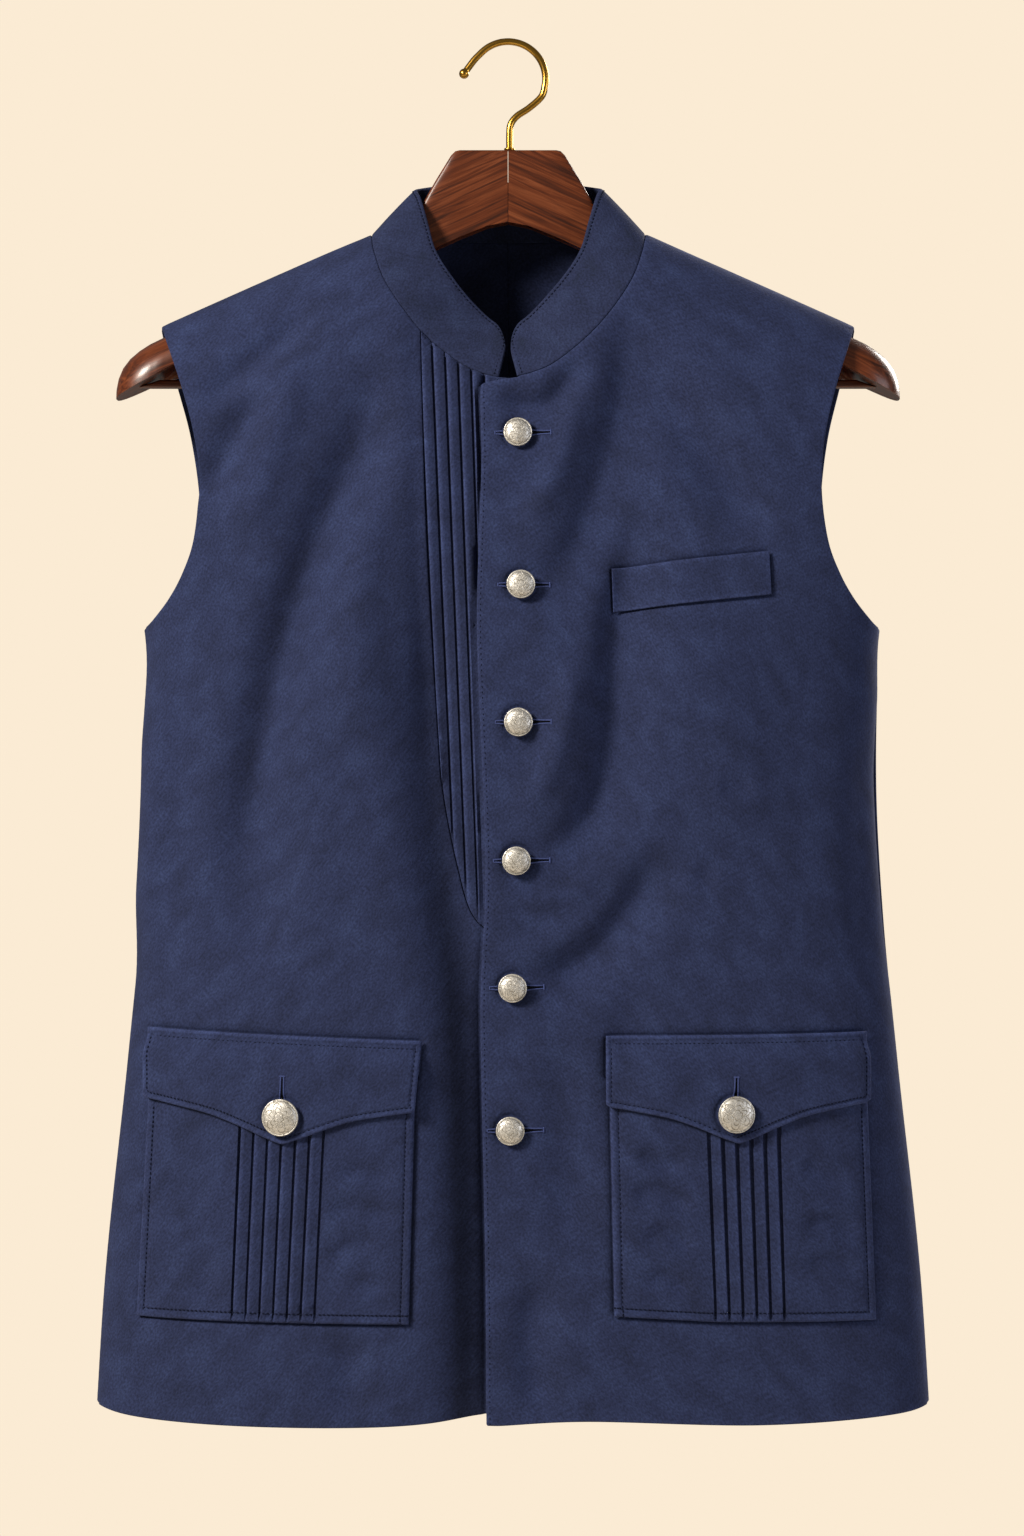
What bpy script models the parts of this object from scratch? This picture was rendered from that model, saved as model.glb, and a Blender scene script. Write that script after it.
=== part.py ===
"""Sleeveless band-collar jacket, buttoned, hanging on a wooden hanger.

The sizes below are in millimetres; MM turns them to metres when a mesh is made.
+Z is up, +X is to the right as seen from the front, and the front faces -Y. The
origin is the highest point inside the hook, where a rail or a peg carries it.

The body is one smooth hollow form. Every cloth piece is cut out of it as an
outline (x, height), seen from the front, and gets its wall along the normals.
"""

import math
from collections import namedtuple

import bmesh
import bpy
import numpy as np
from mathutils import Vector
from mathutils.geometry import delaunay_2d_cdt

MM = 0.001

# Cloth
WALL = 1.6                 # front and back, two layers pressed together
TRIM_WALL = 1.4            # pockets, flaps and welt
COLLAR_WALL = 2.4          # band collar with its stiffening
SEAM_GAP = 0.4             # between neighbouring pieces at a seam
LAY_GAP = 0.45             # between a panel and what lies on it
LAP_RISE = 1.5             # right front above the form where it laps over
LAP_SINK = 1.5             # left front below the form where it lies under
LAP_FADE = 110.0           # distance from the centre where both are level again
PANEL_STEP = 20.0          # mesh spacing of the fronts
BACK_STEP = 26.0
TRIM_STEP = 11.0
SEAM_STEP = 14.0
NECK_STEP = 9.0

# Body form: half width at the side seams, depth of front and back from the side seams
BodyRow = namedtuple("BodyRow", "height half_width front_depth back_depth")
BODY = (
    BodyRow(-60.0, 262.0, 43.0, 42.0),
    BodyRow(-110.0, 260.0, 44.0, 44.0),
    BodyRow(-166.0, 256.0, 47.0, 46.0),
    BodyRow(-250.0, 240.0, 53.0, 48.0),
    BodyRow(-300.0, 224.0, 57.0, 50.0),
    BodyRow(-338.0, 213.4, 59.0, 50.0),
    BodyRow(-382.0, 211.7, 60.0, 50.0),
    BodyRow(-425.0, 211.2, 60.0, 50.0),
    BodyRow(-506.0, 215.2, 60.0, 50.0),
    BodyRow(-587.0, 223.0, 60.0, 51.0),
    BodyRow(-716.0, 236.6, 61.0, 53.0),
    BodyRow(-800.0, 242.0, 62.0, 54.0),
)
SECTION_POWER = 3.2        # how square the body's cross-section is
CentreRow = namedtuple("CentreRow", "height shift")
CENTRE = (CentreRow(-790.0, 2.9), CentreRow(-338.0, 2.3), CentreRow(-166.0, 0.0))
SHOULDER_TOP = -83.8       # where the two shoulder lines would meet
SHOULDER_SLOPE = 0.45
SHOULDER_BLEND = 25.0
RollRow = namedtuple("RollRow", "half_x radius")
ROLL = (RollRow(60.0, 90.0), RollRow(200.0, 55.0))  # how far down the shoulder rounds over

# Largest folds of the fronts: soft troughs along a line
Fold = namedtuple("Fold", "x0 z0 x1 z1 width depth")
FOLDS = (
    Fold(-88.0, -215.0, -150.0, -395.0, 22.0, 3.0),
    Fold(-150.0, -395.0, -172.0, -520.0, 26.0, 2.4),
    Fold(48.0, -190.0, 36.0, -262.0, 17.0, 3.0),
    Fold(48.0, -378.0, 26.0, -455.0, 17.0, 2.6),
    Fold(-30.0, -560.0, -25.0, -760.0, 12.0, 2.2),
)

# Outlines, half x and height, the same on both sides unless one is named
Point = namedtuple("Point", "x z")
NECK_HALF = 79.5
TIP_HALF = 201.0
FRONT_NECK = (
    Point(77.0, -123.0),
    Point(69.0, -143.5),
    Point(50.0, -169.5),
    Point(28.0, -188.5),
    Point(14.0, -195.2),
    Point(5.2, -197.3),
)
BACK_NECK_HEIGHT = -110.1
FRONT_ARMHOLE = (
    Point(198.0, -170.0),
    Point(187.0, -201.0),
    Point(179.6, -231.0),
    Point(177.4, -260.0),
    Point(180.7, -289.0),
    Point(187.6, -308.0),
    Point(196.4, -322.7),
    Point(207.0, -334.5),
)
BACK_ARMHOLE = (
    Point(201.5, -169.0),
    Point(195.0, -196.0),
    Point(188.0, -225.0),
    Point(184.0, -255.0),
    Point(184.0, -280.0),
    Point(189.0, -303.0),
    Point(197.0, -320.0),
    Point(207.0, -333.5),
)
UNDERARM = -339.0
SIDE_HEM = -786.5
LEFT_HEM = (
    Point(-212.0, -789.5),
    Point(-150.0, -791.5),
    Point(-75.0, -791.0),
    Point(-13.0, -787.0),
)
RIGHT_HEM = (
    Point(220.0, -788.6),
    Point(140.0, -790.5),
    Point(46.0, -787.4),
    Point(-6.0, -789.6),
)
UNDER_EDGE = 22.0          # x of the left front's hidden edge
UNDER_TOP = Point(UNDER_EDGE, -199.6)
UNDER_HEM = Point(UNDER_EDGE, -786.5)
LAP_EDGE = (
    Point(-12.1, -788.5),
    Point(-12.6, -707.0),
    Point(-15.4, -545.0),
    Point(-13.4, -447.0),
    Point(-17.4, -346.0),
    Point(-15.0, -245.0),
    Point(-15.7, -206.5),
)
LAP_CORNER = (Point(-13.4, -201.4), Point(-5.6, -199.6))
LAP_NECK = Point(5.2, -198.0)
TUCK_SEAM = (
    Point(-50.0, -169.5),
    Point(-46.2, -290.0),
    Point(-40.2, -400.0),
    Point(-37.1, -435.0),
    Point(-29.3, -474.5),
    Point(-20.5, -503.0),
    Point(-6.0, -513.5),
    Point(UNDER_EDGE, -516.0),
)

# Tucks and pleats: x of the first fold edge and the pitch, at two heights
Pleats = namedtuple("Pleats", "count top_z top_x top_pitch low_z low_x low_pitch rise open_side")
PLEAT_RISE = 1.2
TUCKS = Pleats(6, -180.0, -49.8, 7.3, -409.0, -39.8, 6.7, PLEAT_RISE, -1)
LEFT_PLEATS = Pleats(6, -627.0, -150.1, 7.9, -730.0, -154.8, 7.8, PLEAT_RISE, -1)
RIGHT_PLEATS = Pleats(6, -627.0, 111.6, 7.9, -730.0, 116.1, 7.75, PLEAT_RISE, 1)
TUCK_REACH = (-166.0, -520.0)   # heights between which the fold lines run
PLEAT_REACH = (-595.5, -729.0)
TUCK_STEP = 12.0
PLEAT_STEP = 22.0
FOLD_EDGE = 0.5            # width over which a fold edge rises

# Pockets, flaps and welt
LEFT_PATCH = (
    Point(-203.6, -594.0),
    Point(-210.9, -731.6),
    Point(-56.0, -732.8),
    Point(-52.2, -594.0),
)
RIGHT_PATCH = (
    Point(57.2, -594.0),
    Point(59.9, -728.0),
    Point(117.5, -731.6),
    Point(208.9, -733.4),
    Point(203.6, -594.0),
)
Flap = namedtuple("Flap", "x0 z0 x1 z1")  # top edge
LEFT_FLAP = Flap(-205.0, -567.3, -48.7, -573.3)
RIGHT_FLAP = Flap(55.2, -570.2, 203.8, -569.6)
FlapRow = namedtuple("FlapRow", "share drop")  # share of the half width from the middle
FLAP_EDGE = (
    FlapRow(0.0, 61.0),
    FlapRow(0.15, 57.2),
    FlapRow(0.30, 52.4),
    FlapRow(0.53, 46.2),
    FlapRow(0.85, 41.6),
    FlapRow(1.0, 39.6),
)
FLAP_LIFT_START = 6.0      # below the flap's top edge, where it starts to rise over the pocket
FLAP_LIFT_RUN = 9.0
FLAP_CLEAR = 0.5           # between the highest pleat and the flap
FLAP_LIFT = LAY_GAP + TRIM_WALL + PLEAT_RISE + FLAP_CLEAR
WELT = (
    Point(58.9, -305.9),
    Point(147.7, -296.4),
    Point(149.0, -321.0),
    Point(60.0, -330.5),
)

# Collar: the way it stands on the neck seam, along half of it from the front end
COLLAR_HEIGHT = 37.0
COLLAR_END_HEIGHT = 22.0
COLLAR_END_RADIUS = 15.0
LeanRow = namedtuple("LeanRow", "share inward back up")
COLLAR_LEAN = (
    LeanRow(0.00, 0.16, 0.50, 0.85),
    LeanRow(0.12, 0.52, 0.47, 0.71),
    LeanRow(0.23, 0.68, 0.37, 0.64),
    LeanRow(0.36, 0.75, 0.34, 0.57),
    LeanRow(0.47, 0.82, 0.24, 0.52),
    LeanRow(0.60, 0.70, 0.03, 0.71),
    LeanRow(0.80, 0.42, -0.28, 0.86),
    LeanRow(1.00, 0.00, -0.45, 0.89),
)
COLLAR_ROWS = 3

# Buttons
FRONT_BUTTON_RADIUS = 8.8
POCKET_BUTTON_RADIUS = 10.8
FRONT_BUTTONS = (
    Point(5.6, -229.8),
    Point(7.3, -315.9),
    Point(5.9, -393.4),
    Point(4.8, -471.5),
    Point(2.6, -543.1),
    Point(1.3, -623.4),
)
POCKET_BUTTONS = {"left": Point(-128.5, -616.3), "right": Point(127.3, -614.3)}
BUTTON_SIDES = 20
SHANK_RADIUS = 2.6
SHANK_HEIGHT = 1.8
BUTTON_HEIGHT = 4.6        # of the head alone
BUTTON_SEAT = 0.3

# Hanger, half of it from the middle to the tip
ArmRow = namedtuple("ArmRow", "x top rim half_depth square")
ARM = (
    ArmRow(0.15, -61.5, -103.3, 6.0, 9.0),
    ArmRow(12.0, -61.5, -105.6, 6.0, 9.0),
    ArmRow(29.5, -61.5, -112.7, 6.0, 9.0),
    ArmRow(33.0, -64.0, -114.3, 6.0, 9.0),
    ArmRow(42.0, -79.2, -118.4, 5.8, 8.0),
    ArmRow(51.0, -95.4, -122.6, 5.8, 6.0),
    ArmRow(60.0, -107.0, -126.8, 6.6, 4.0),
    ArmRow(80.0, -116.0, -136.0, 9.4, 2.8),
    ArmRow(120.0, -133.2, -153.0, 14.8, 2.4),
    ArmRow(160.0, -151.4, -170.8, 20.3, 2.3),
    ArmRow(185.0, -163.2, -184.0, 23.2, 2.2),
    ArmRow(200.0, -171.6, -191.8, 23.6, 2.2),
    ArmRow(212.0, -179.0, -197.9, 22.0, 2.2),
    ArmRow(219.5, -186.6, -201.8, 19.0, 2.2),
    ArmRow(224.3, -194.6, -204.4, 13.0, 2.2),
    ArmRow(226.6, -201.6, -205.6, 6.0, 2.2),
)
ARM_ARCH_POINTS = 13
ARM_GROOVE_DEPTH = 6.0     # the hollow under the broad part of the shoulder
ARM_GROOVE = (92.0, 204.0)
ARM_LAND = 0.66            # the hollow's share of the half depth
BAR_TOP = -193.4
BAR_LOW = -200.0
BAR_HALF_DEPTH = 5.5
BAR_TOP_X = 201.6
BAR_LOW_X = 214.2
BAR_BEVEL = 1.2

# Hook
WIRE_RADIUS = 2.0
BALL_RADIUS = 2.9
HOOK_RADIUS = 21.8         # of the arc's centre line
HOOK_CENTRE = Point(0.0, WIRE_RADIUS - 21.8)
HOOK_ARC = (135.0, -6.0)   # degrees, from the open side over the top
HOOK_TIP = Point(-25.5, -16.6)
HOOK_TAIL = (
    Point(19.6, -29.6),
    Point(12.2, -36.5),
    Point(5.2, -41.2),
    Point(1.6, -46.0),
    Point(0.9, -52.0),
    Point(0.9, -61.1),
)
WIRE_SIDES = 10
FERRULE_RADIUS = 3.2
FERRULE_HEIGHT = 1.3


# ---------------------------------------------------------------- the body form

def smooth_table(rows, column, at):
    """Read a column of a table at any height, smoothly (cubic through its rows)."""
    order = sorted(rows, key=lambda row: row[0])
    xs = np.array([row[0] for row in order])
    ys = np.array([getattr(row, column) for row in order])
    at = np.clip(at, xs[0], xs[-1])
    slope = np.gradient(ys, xs)
    i = np.clip(np.searchsorted(xs, at) - 1, 0, len(xs) - 2)
    run = xs[i + 1] - xs[i]
    s = (at - xs[i]) / run
    return (
        (2 * s**3 - 3 * s**2 + 1) * ys[i]
        + (s**3 - 2 * s**2 + s) * run * slope[i]
        + (3 * s**2 - 2 * s**3) * ys[i + 1]
        + (s**3 - s**2) * run * slope[i + 1]
    )


def straight_table(rows, column, at):
    return np.interp(at, [row[0] for row in rows], [getattr(row, column) for row in rows])


def centre_x(z):
    return straight_table(CENTRE, "shift", z)


def ridge_z(x):
    """Height of the shoulder line."""
    reach = np.sqrt(np.square(x) + SHOULDER_BLEND**2) - SHOULDER_BLEND
    return SHOULDER_TOP - SHOULDER_SLOPE * reach


def arc_table(height, power):
    """Share of x against arc length along (x, height * sqrt(1 - x**power))."""
    t = np.linspace(0.0, 1.0, 800)
    x = 1 - (1 - t) ** 2
    y = height * np.sqrt(np.maximum(1 - x**power, 0))
    length = np.concatenate([[0.0], np.cumsum(np.hypot(np.diff(x), np.diff(y)))])
    return x, length


ACROSS_X, ACROSS_LENGTH = arc_table(0.27, SECTION_POWER)
DOWN_X, DOWN_LENGTH = arc_table(0.65, 2.0)
FLAT_HALF = 220.0          # the flat pattern's scale across
ACROSS_END = ACROSS_LENGTH[-1] * FLAT_HALF


def flatten(x, z):
    """Front view (x, z) to the flat pattern (across, down), where distances are even."""
    offset = x - centre_x(z)
    q = np.clip(np.abs(offset) / smooth_table(BODY, "half_width", z), 0, 1)
    across = np.sign(offset) * np.interp(q, ACROSS_X, ACROSS_LENGTH) * FLAT_HALF
    roll = straight_table(ROLL, "radius", np.abs(x))
    drop = np.maximum(ridge_z(x) - z, 0)
    turned = DOWN_LENGTH[-1] - np.interp(1 - np.clip(drop / roll, 0, 1), DOWN_X, DOWN_LENGTH)
    return across, turned * roll + np.maximum(drop - roll, 0)


def unflatten(across, down):
    """Flat pattern back to the front view, by steps that settle quickly."""
    q = np.interp(np.abs(across) / FLAT_HALF, ACROSS_LENGTH, ACROSS_X)
    z = SHOULDER_TOP - down
    for _ in range(40):
        x = centre_x(z) + np.sign(across) * q * smooth_table(BODY, "half_width", z)
        roll = straight_table(ROLL, "radius", np.abs(x))
        turned = np.minimum(down / roll, DOWN_LENGTH[-1])
        share = 1 - np.interp(DOWN_LENGTH[-1] - turned, DOWN_LENGTH, DOWN_X)
        drop = share * roll + np.maximum(down - DOWN_LENGTH[-1] * roll, 0)
        z = ridge_z(x) - drop
    return x, z


def fold_depth(x, z):
    """How far the folds sink into the front at a place."""
    total = np.zeros_like(x)
    for fold in FOLDS:
        run = np.hypot(fold.x1 - fold.x0, fold.z1 - fold.z0)
        ux, uz = (fold.x1 - fold.x0) / run, (fold.z1 - fold.z0) / run
        along = (x - fold.x0) * ux + (z - fold.z0) * uz
        aside = (x - fold.x0) * uz - (z - fold.z0) * ux
        ends = np.clip(np.minimum(along, run - along) / fold.width + 1, 0, 1)
        fade = ends * ends * (3 - 2 * ends)
        total += fold.depth * fade * np.exp(-np.square(aside / fold.width) * 2)
    return total


def form_point(across, down, face):
    """Point on the form; face is -1 for the front and +1 for the back."""
    x, z = unflatten(across, down)
    q = np.interp(np.abs(across) / FLAT_HALF, ACROSS_LENGTH, ACROSS_X)
    roll = straight_table(ROLL, "radius", np.abs(x))
    share = np.clip((ridge_z(x) - z) / roll, 0, 1)
    column = "front_depth" if face < 0 else "back_depth"
    depth = smooth_table(BODY, column, z)
    depth = depth * np.sqrt(np.maximum(1 - q**SECTION_POWER, 0))
    depth = depth * np.sqrt(np.maximum(1 - np.square(1 - share), 0))
    if face < 0:
        depth = depth - fold_depth(x, z)
    return np.stack([x, face * depth, z], axis=-1)


def form_frame(across, down, face):
    """Points on the form and their outward normals."""
    step = 0.6
    low = np.clip(across - step, -ACROSS_END, ACROSS_END)
    high = np.clip(across + step, -ACROSS_END, ACROSS_END)
    sideways = form_point(high, down, face) - form_point(low, down, face)
    downwards = form_point(across, down + step, face)
    downwards = downwards - form_point(across, np.maximum(down - step, 0), face)
    normal = np.cross(sideways, downwards) * face
    length = np.linalg.norm(normal, axis=-1, keepdims=True)
    return form_point(across, down, face), normal / np.maximum(length, 1e-9)


def place(x, z, lift, face=-1):
    """Points at a lift above the form, for front-view places."""
    across, down = flatten(np.asarray(x, float), np.asarray(z, float))
    points, normals = form_frame(across, down, face)
    return points + normals * np.asarray(lift, float)[..., None], normals


# ---------------------------------------------------------------- outlines

def line_through(points, step, smooth=True):
    """Places along a line through the points, about a step apart, ends included."""
    points = [np.array(point, float) for point in points]
    padded = [2 * points[0] - points[1], *points, 2 * points[-1] - points[-2]]
    out = [points[0]]
    for i in range(1, len(padded) - 2):
        p0, p1, p2, p3 = padded[i - 1 : i + 3]
        count = max(1, round(float(np.linalg.norm(p2 - p1)) / step))
        for k in range(1, count + 1):
            t = k / count
            if smooth:
                curve = 2 * p1 + (p2 - p0) * t
                curve = curve + (2 * p0 - 5 * p1 + 4 * p2 - p3) * t**2
                curve = curve + (3 * p1 - p0 - 3 * p2 + p3) * t**3
                out.append(curve / 2)
            else:
                out.append(p1 + (p2 - p1) * t)
    return [Point(*p) for p in out]


def joined(*lines):
    """One closed outline from lines that meet end to end."""
    out = []
    for line in lines:
        for point in line:
            if not out or math.dist(point, out[-1]) > 0.05:
                out.append(point)
    if math.dist(out[0], out[-1]) <= 0.05:
        out.pop()
    return out


def mirrored(points, side):
    """Right-hand table places for a side, moved with the body's centre."""
    return [Point(side * p.x + float(centre_x(p.z)), p.z) for p in points]


def shoulder_line(side, step):
    xs = np.linspace(NECK_HALF, TIP_HALF, max(2, round((TIP_HALF - NECK_HALF) / step) + 1))
    return [Point(side * x, float(ridge_z(x))) for x in xs]


def front_neckline(side):
    """Front neckline from the shoulder down to its end near the centre."""
    start = Point(side * NECK_HALF, float(ridge_z(NECK_HALF)))
    return line_through([start, *(Point(side * p.x, p.z) for p in FRONT_NECK)], NECK_STEP)


def back_neckline():
    """Back neckline from the left shoulder to the right."""
    start = float(ridge_z(NECK_HALF))
    xs = NECK_HALF * np.sin(np.linspace(-math.pi / 2, math.pi / 2, 19))
    share = np.abs(xs) / NECK_HALF
    return [Point(float(x), BACK_NECK_HEIGHT + (start - BACK_NECK_HEIGHT) * float(s**4))
            for x, s in zip(xs, share)]


def side_seam(side, step, hem):
    heights = np.linspace(UNDERARM, hem, max(2, round((UNDERARM - hem) / step) + 1))
    return [Point(float(centre_x(z) + side * smooth_table(BODY, "half_width", z)), float(z))
            for z in heights]


def armhole(side, rows, step):
    tip = Point(side * TIP_HALF, float(ridge_z(TIP_HALF)))
    return line_through([tip, *mirrored(rows, side), side_seam(side, step, SIDE_HEM)[0]], step)


def inside(point, outline):
    """Whether a flat place is inside an outline (even-odd rule)."""
    x, y = point
    found = False
    for (x0, y0), (x1, y1) in zip(outline, outline[1:] + outline[:1]):
        if (y0 > y) != (y1 > y) and x < (x1 - x0) * (y - y0) / (y1 - y0) + x0:
            found = not found
    return found


def edge_distance(point, outline):
    point = np.array(point)
    start = np.array(outline)
    run = np.roll(start, -1, axis=0) - start
    share = np.einsum("ij,ij->i", point - start, run) / np.einsum("ij,ij->i", run, run)
    nearest = start + np.clip(share, 0, 1)[:, None] * run
    return float(np.min(np.linalg.norm(nearest - point, axis=1)))


# ---------------------------------------------------------------- meshes

def material(name, colour, roughness, metallic=0.0):
    made = bpy.data.materials.new(name)
    made.use_nodes = True
    shader = made.node_tree.nodes["Principled BSDF"]
    shader.inputs["Base Color"].default_value = (*colour, 1.0)
    shader.inputs["Roughness"].default_value = roughness
    shader.inputs["Metallic"].default_value = metallic
    return made


def add_object(name, points, faces, finish, smooth=True):
    """A named object from points in millimetres."""
    mesh = bpy.data.meshes.new(name)
    mesh.from_pydata([Vector(p) * MM for p in points], [], faces)
    mesh.materials.append(finish)
    body = bmesh.new()
    body.from_mesh(mesh)
    bmesh.ops.recalc_face_normals(body, faces=body.faces)
    if body.calc_volume(signed=True) < 0:
        bmesh.ops.reverse_faces(body, faces=body.faces)
    body.to_mesh(mesh)
    body.free()
    if smooth:
        mesh.shade_smooth()
        mesh.set_sharp_from_angle(angle=math.radians(50))
    made = bpy.data.objects.new(name, mesh)
    bpy.context.collection.objects.link(made)
    return made


def cloth_piece(name, outline, finish, step, outer_lift, inner_lift, face=-1, lines=()):
    """A cloth wall cut from the form.

    outline and lines are front-view places; outer_lift and inner_lift give the two
    faces' distance from the form at (x, z).
    """
    flat = [flatten(np.array(p.x), np.array(p.z)) for p in outline]
    border = [(float(a), float(b)) for a, b in flat]
    vertices = [Vector(p) for p in border]
    edges = []
    for line in lines:
        start = len(vertices)
        for p in line:
            a, b = flatten(np.array(p.x), np.array(p.z))
            vertices.append(Vector((float(a), float(b))))
        edges += [(i, i + 1) for i in range(start, len(vertices) - 1)]
    low, high = np.min(border, axis=0), np.max(border, axis=0)
    taken = np.array([tuple(v) for v in vertices])
    for i in range(math.floor(low[0] / step), math.ceil(high[0] / step) + 1):
        for j in range(math.floor(low[1] / step), math.ceil(high[1] / step) + 1):
            spot = (i * step, j * step)
            clear = np.min(np.linalg.norm(taken - spot, axis=1)) > step * 0.45
            if clear and inside(spot, border) and edge_distance(spot, border) > step * 0.35:
                vertices.append(Vector(spot))
    ring = [list(range(len(border)))]
    made = delaunay_2d_cdt(vertices, edges, ring, 1, 1e-5)
    flat_points, triangles = made[0], made[2]
    across = np.clip(np.array([v.x for v in flat_points]), -ACROSS_END, ACROSS_END)
    down = np.maximum(np.array([v.y for v in flat_points]), 0)
    points, normals = form_frame(across, down, face)
    x, z = unflatten(across, down)
    outer = points + normals * outer_lift(x, z)[:, None]
    inner = points + normals * inner_lift(x, z)[:, None]
    seam = SEAM_GAP / 2
    for wall in (outer, inner):
        wall[:, 1] = np.minimum(wall[:, 1], -seam) if face < 0 else np.maximum(wall[:, 1], seam)
    count = len(points)
    faces = [tuple(t) for t in triangles]
    faces += [tuple(count + i for i in reversed(t)) for t in triangles]
    used = {}
    for t in triangles:
        for a, b in zip(t, (*t[1:], t[0])):
            used[(a, b)] = True
    for a, b in used:
        if (b, a) not in used:
            faces.append((b, a, count + a, count + b))
    return add_object(name, [*outer, *inner], faces, finish)


def lofted(name, rings, finish, smooth=True):
    """A closed solid through rings of equal count, capped at both ends."""
    count = len(rings[0])
    points = [p for ring in rings for p in ring]
    faces = []
    for r in range(len(rings) - 1):
        for k in range(count):
            a, b = r * count + k, r * count + (k + 1) % count
            faces.append((a, b, b + count, a + count))
    faces.append(tuple(range(count)))
    faces.append(tuple(range(len(points) - 1, len(points) - count - 1, -1)))
    return add_object(name, points, faces, finish, smooth)


def turned(name, profile, sides, finish):
    """A solid turned about +Z from (radius, height) rows; its ends lie on the axis."""
    points = [(0.0, 0.0, profile[0].z), (0.0, 0.0, profile[-1].z)]
    faces = []
    for radius, height in profile[1:-1]:
        for k in range(sides):
            angle = 2 * math.pi * k / sides
            points.append((radius * math.cos(angle), radius * math.sin(angle), height))
    rows = len(profile) - 2
    for k in range(sides):
        after = (k + 1) % sides
        faces.append((0, 2 + after, 2 + k))
        last = 2 + (rows - 1) * sides
        faces.append((1, last + k, last + after))
        for r in range(rows - 1):
            a = 2 + r * sides
            faces.append((a + k, a + after, a + sides + after, a + sides + k))
    return add_object(name, points, faces, finish)


# ---------------------------------------------------------------- lifts

def lap_share(x):
    share = np.clip(1 - np.abs(x) / LAP_FADE, 0, 1)
    return share * share * (3 - 2 * share)


def right_lift(x, z):
    return LAP_RISE * lap_share(x)


def left_lift(x, z):
    return -LAP_SINK * lap_share(x)


def level(x, z):
    return np.zeros_like(x)


def above(base, amount):
    return lambda x, z: base(x, z) + amount


def fold_x(pleats, k, z):
    """x of a tuck's fold edge at a height."""
    share = (z - pleats.top_z) / (pleats.low_z - pleats.top_z)
    top = pleats.top_x + k * pleats.top_pitch
    low = pleats.low_x + k * pleats.low_pitch
    return top + (low - top) * share


def pleat_rise(pleats, x, z):
    """Sawtooth of pressed folds: steep at a fold edge, falling away behind it."""
    rise = np.zeros_like(x)
    for k in range(pleats.count):
        edge = fold_x(pleats, k, z)
        width = fold_x(pleats, 1, z) - fold_x(pleats, 0, z) - FOLD_EDGE
        behind = (edge - x) * pleats.open_side
        share = np.minimum(1 + behind / FOLD_EDGE, 1 - behind / width)
        rise = np.maximum(rise, pleats.rise * np.clip(share, 0, 1))
    return rise


def pleat_lines(pleats, top, low, step):
    """The lines along each fold edge and its foot, from height top to height low."""
    lines = []
    for k in range(pleats.count):
        for aside in (0.0, FOLD_EDGE * pleats.open_side):
            lines.append((k, aside))
    heights = np.linspace(top, low, max(2, round((top - low) / step) + 1))
    return [[Point(float(fold_x(pleats, k, z)) + aside, float(z)) for z in heights]
            for k, aside in lines]


# ---------------------------------------------------------------- cloth pieces

def build_fronts(cloth):
    step = PANEL_STEP
    right = joined(
        shoulder_line(1, step),
        armhole(1, FRONT_ARMHOLE, 14.0),
        side_seam(1, step, SIDE_HEM),
        line_through([side_seam(1, step, SIDE_HEM)[-1], *RIGHT_HEM, LAP_EDGE[0]], step),
        line_through(LAP_EDGE, step),
        line_through([LAP_EDGE[-1], *LAP_CORNER, LAP_NECK], 4.0),
        list(reversed(front_neckline(1)))[1:],
    )
    cloth_piece("front_right", right, cloth, step, right_lift, above(right_lift, -WALL))

    left = joined(
        shoulder_line(-1, step),
        armhole(-1, FRONT_ARMHOLE, 14.0),
        side_seam(-1, step, SIDE_HEM),
        line_through([side_seam(-1, step, SIDE_HEM)[-1], *LEFT_HEM, UNDER_HEM], step),
        line_through([UNDER_HEM, TUCK_SEAM[-1]], step),
        list(reversed(line_through(TUCK_SEAM, SEAM_STEP))),
        [p for p in reversed(front_neckline(-1)) if p.x < TUCK_SEAM[0].x - 1],
    )
    cloth_piece("front_left", left, cloth, step, left_lift, above(left_lift, -WALL))


def clipped_to_seam(line, seam):
    """The part of a tuck's line that lies on the tuck panel."""
    kept = []
    outline = [tuple(p) for p in seam]
    for point in line:
        clear = inside(point, outline) and edge_distance(point, outline) > 0.8
        if clear:
            kept.append(point)
    return kept


def build_tuck_panel(cloth):
    """The tucked strip between the left front and the opening."""
    seam = line_through(TUCK_SEAM, SEAM_STEP)
    moved = []
    for before, here, after in zip([seam[0], *seam], seam, [*seam[1:], seam[-1]]):
        run = math.dist(before, after)
        side = Point((before.z - after.z) / run, (after.x - before.x) / run)
        moved.append(Point(here.x + SEAM_GAP * side.x, here.z + SEAM_GAP * side.z))
    moved[0] = Point(TUCK_SEAM[0].x + SEAM_GAP, TUCK_SEAM[0].z - SEAM_GAP * 0.5)
    neck = [p for p in front_neckline(-1) if p.x > TUCK_SEAM[0].x + 2]
    outline = joined(
        moved,
        line_through([moved[-1], UNDER_TOP], PANEL_STEP),
        line_through([UNDER_TOP, neck[-1]], NECK_STEP),
        list(reversed(neck)),
    )
    lines = pleat_lines(TUCKS, *TUCK_REACH, TUCK_STEP)
    lines = [clipped_to_seam(line, outline) for line in lines]
    under_lap = LAP_EDGE[-1].x

    def tucked(x, z):
        fade = np.clip((under_lap - x) / 2.0, 0, 1)
        return left_lift(x, z) + pleat_rise(TUCKS, x, z) * fade

    cloth_piece("tuck_panel", outline, cloth, PANEL_STEP, tucked, above(left_lift, -WALL),
                lines=[line for line in lines if len(line) > 1])


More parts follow.
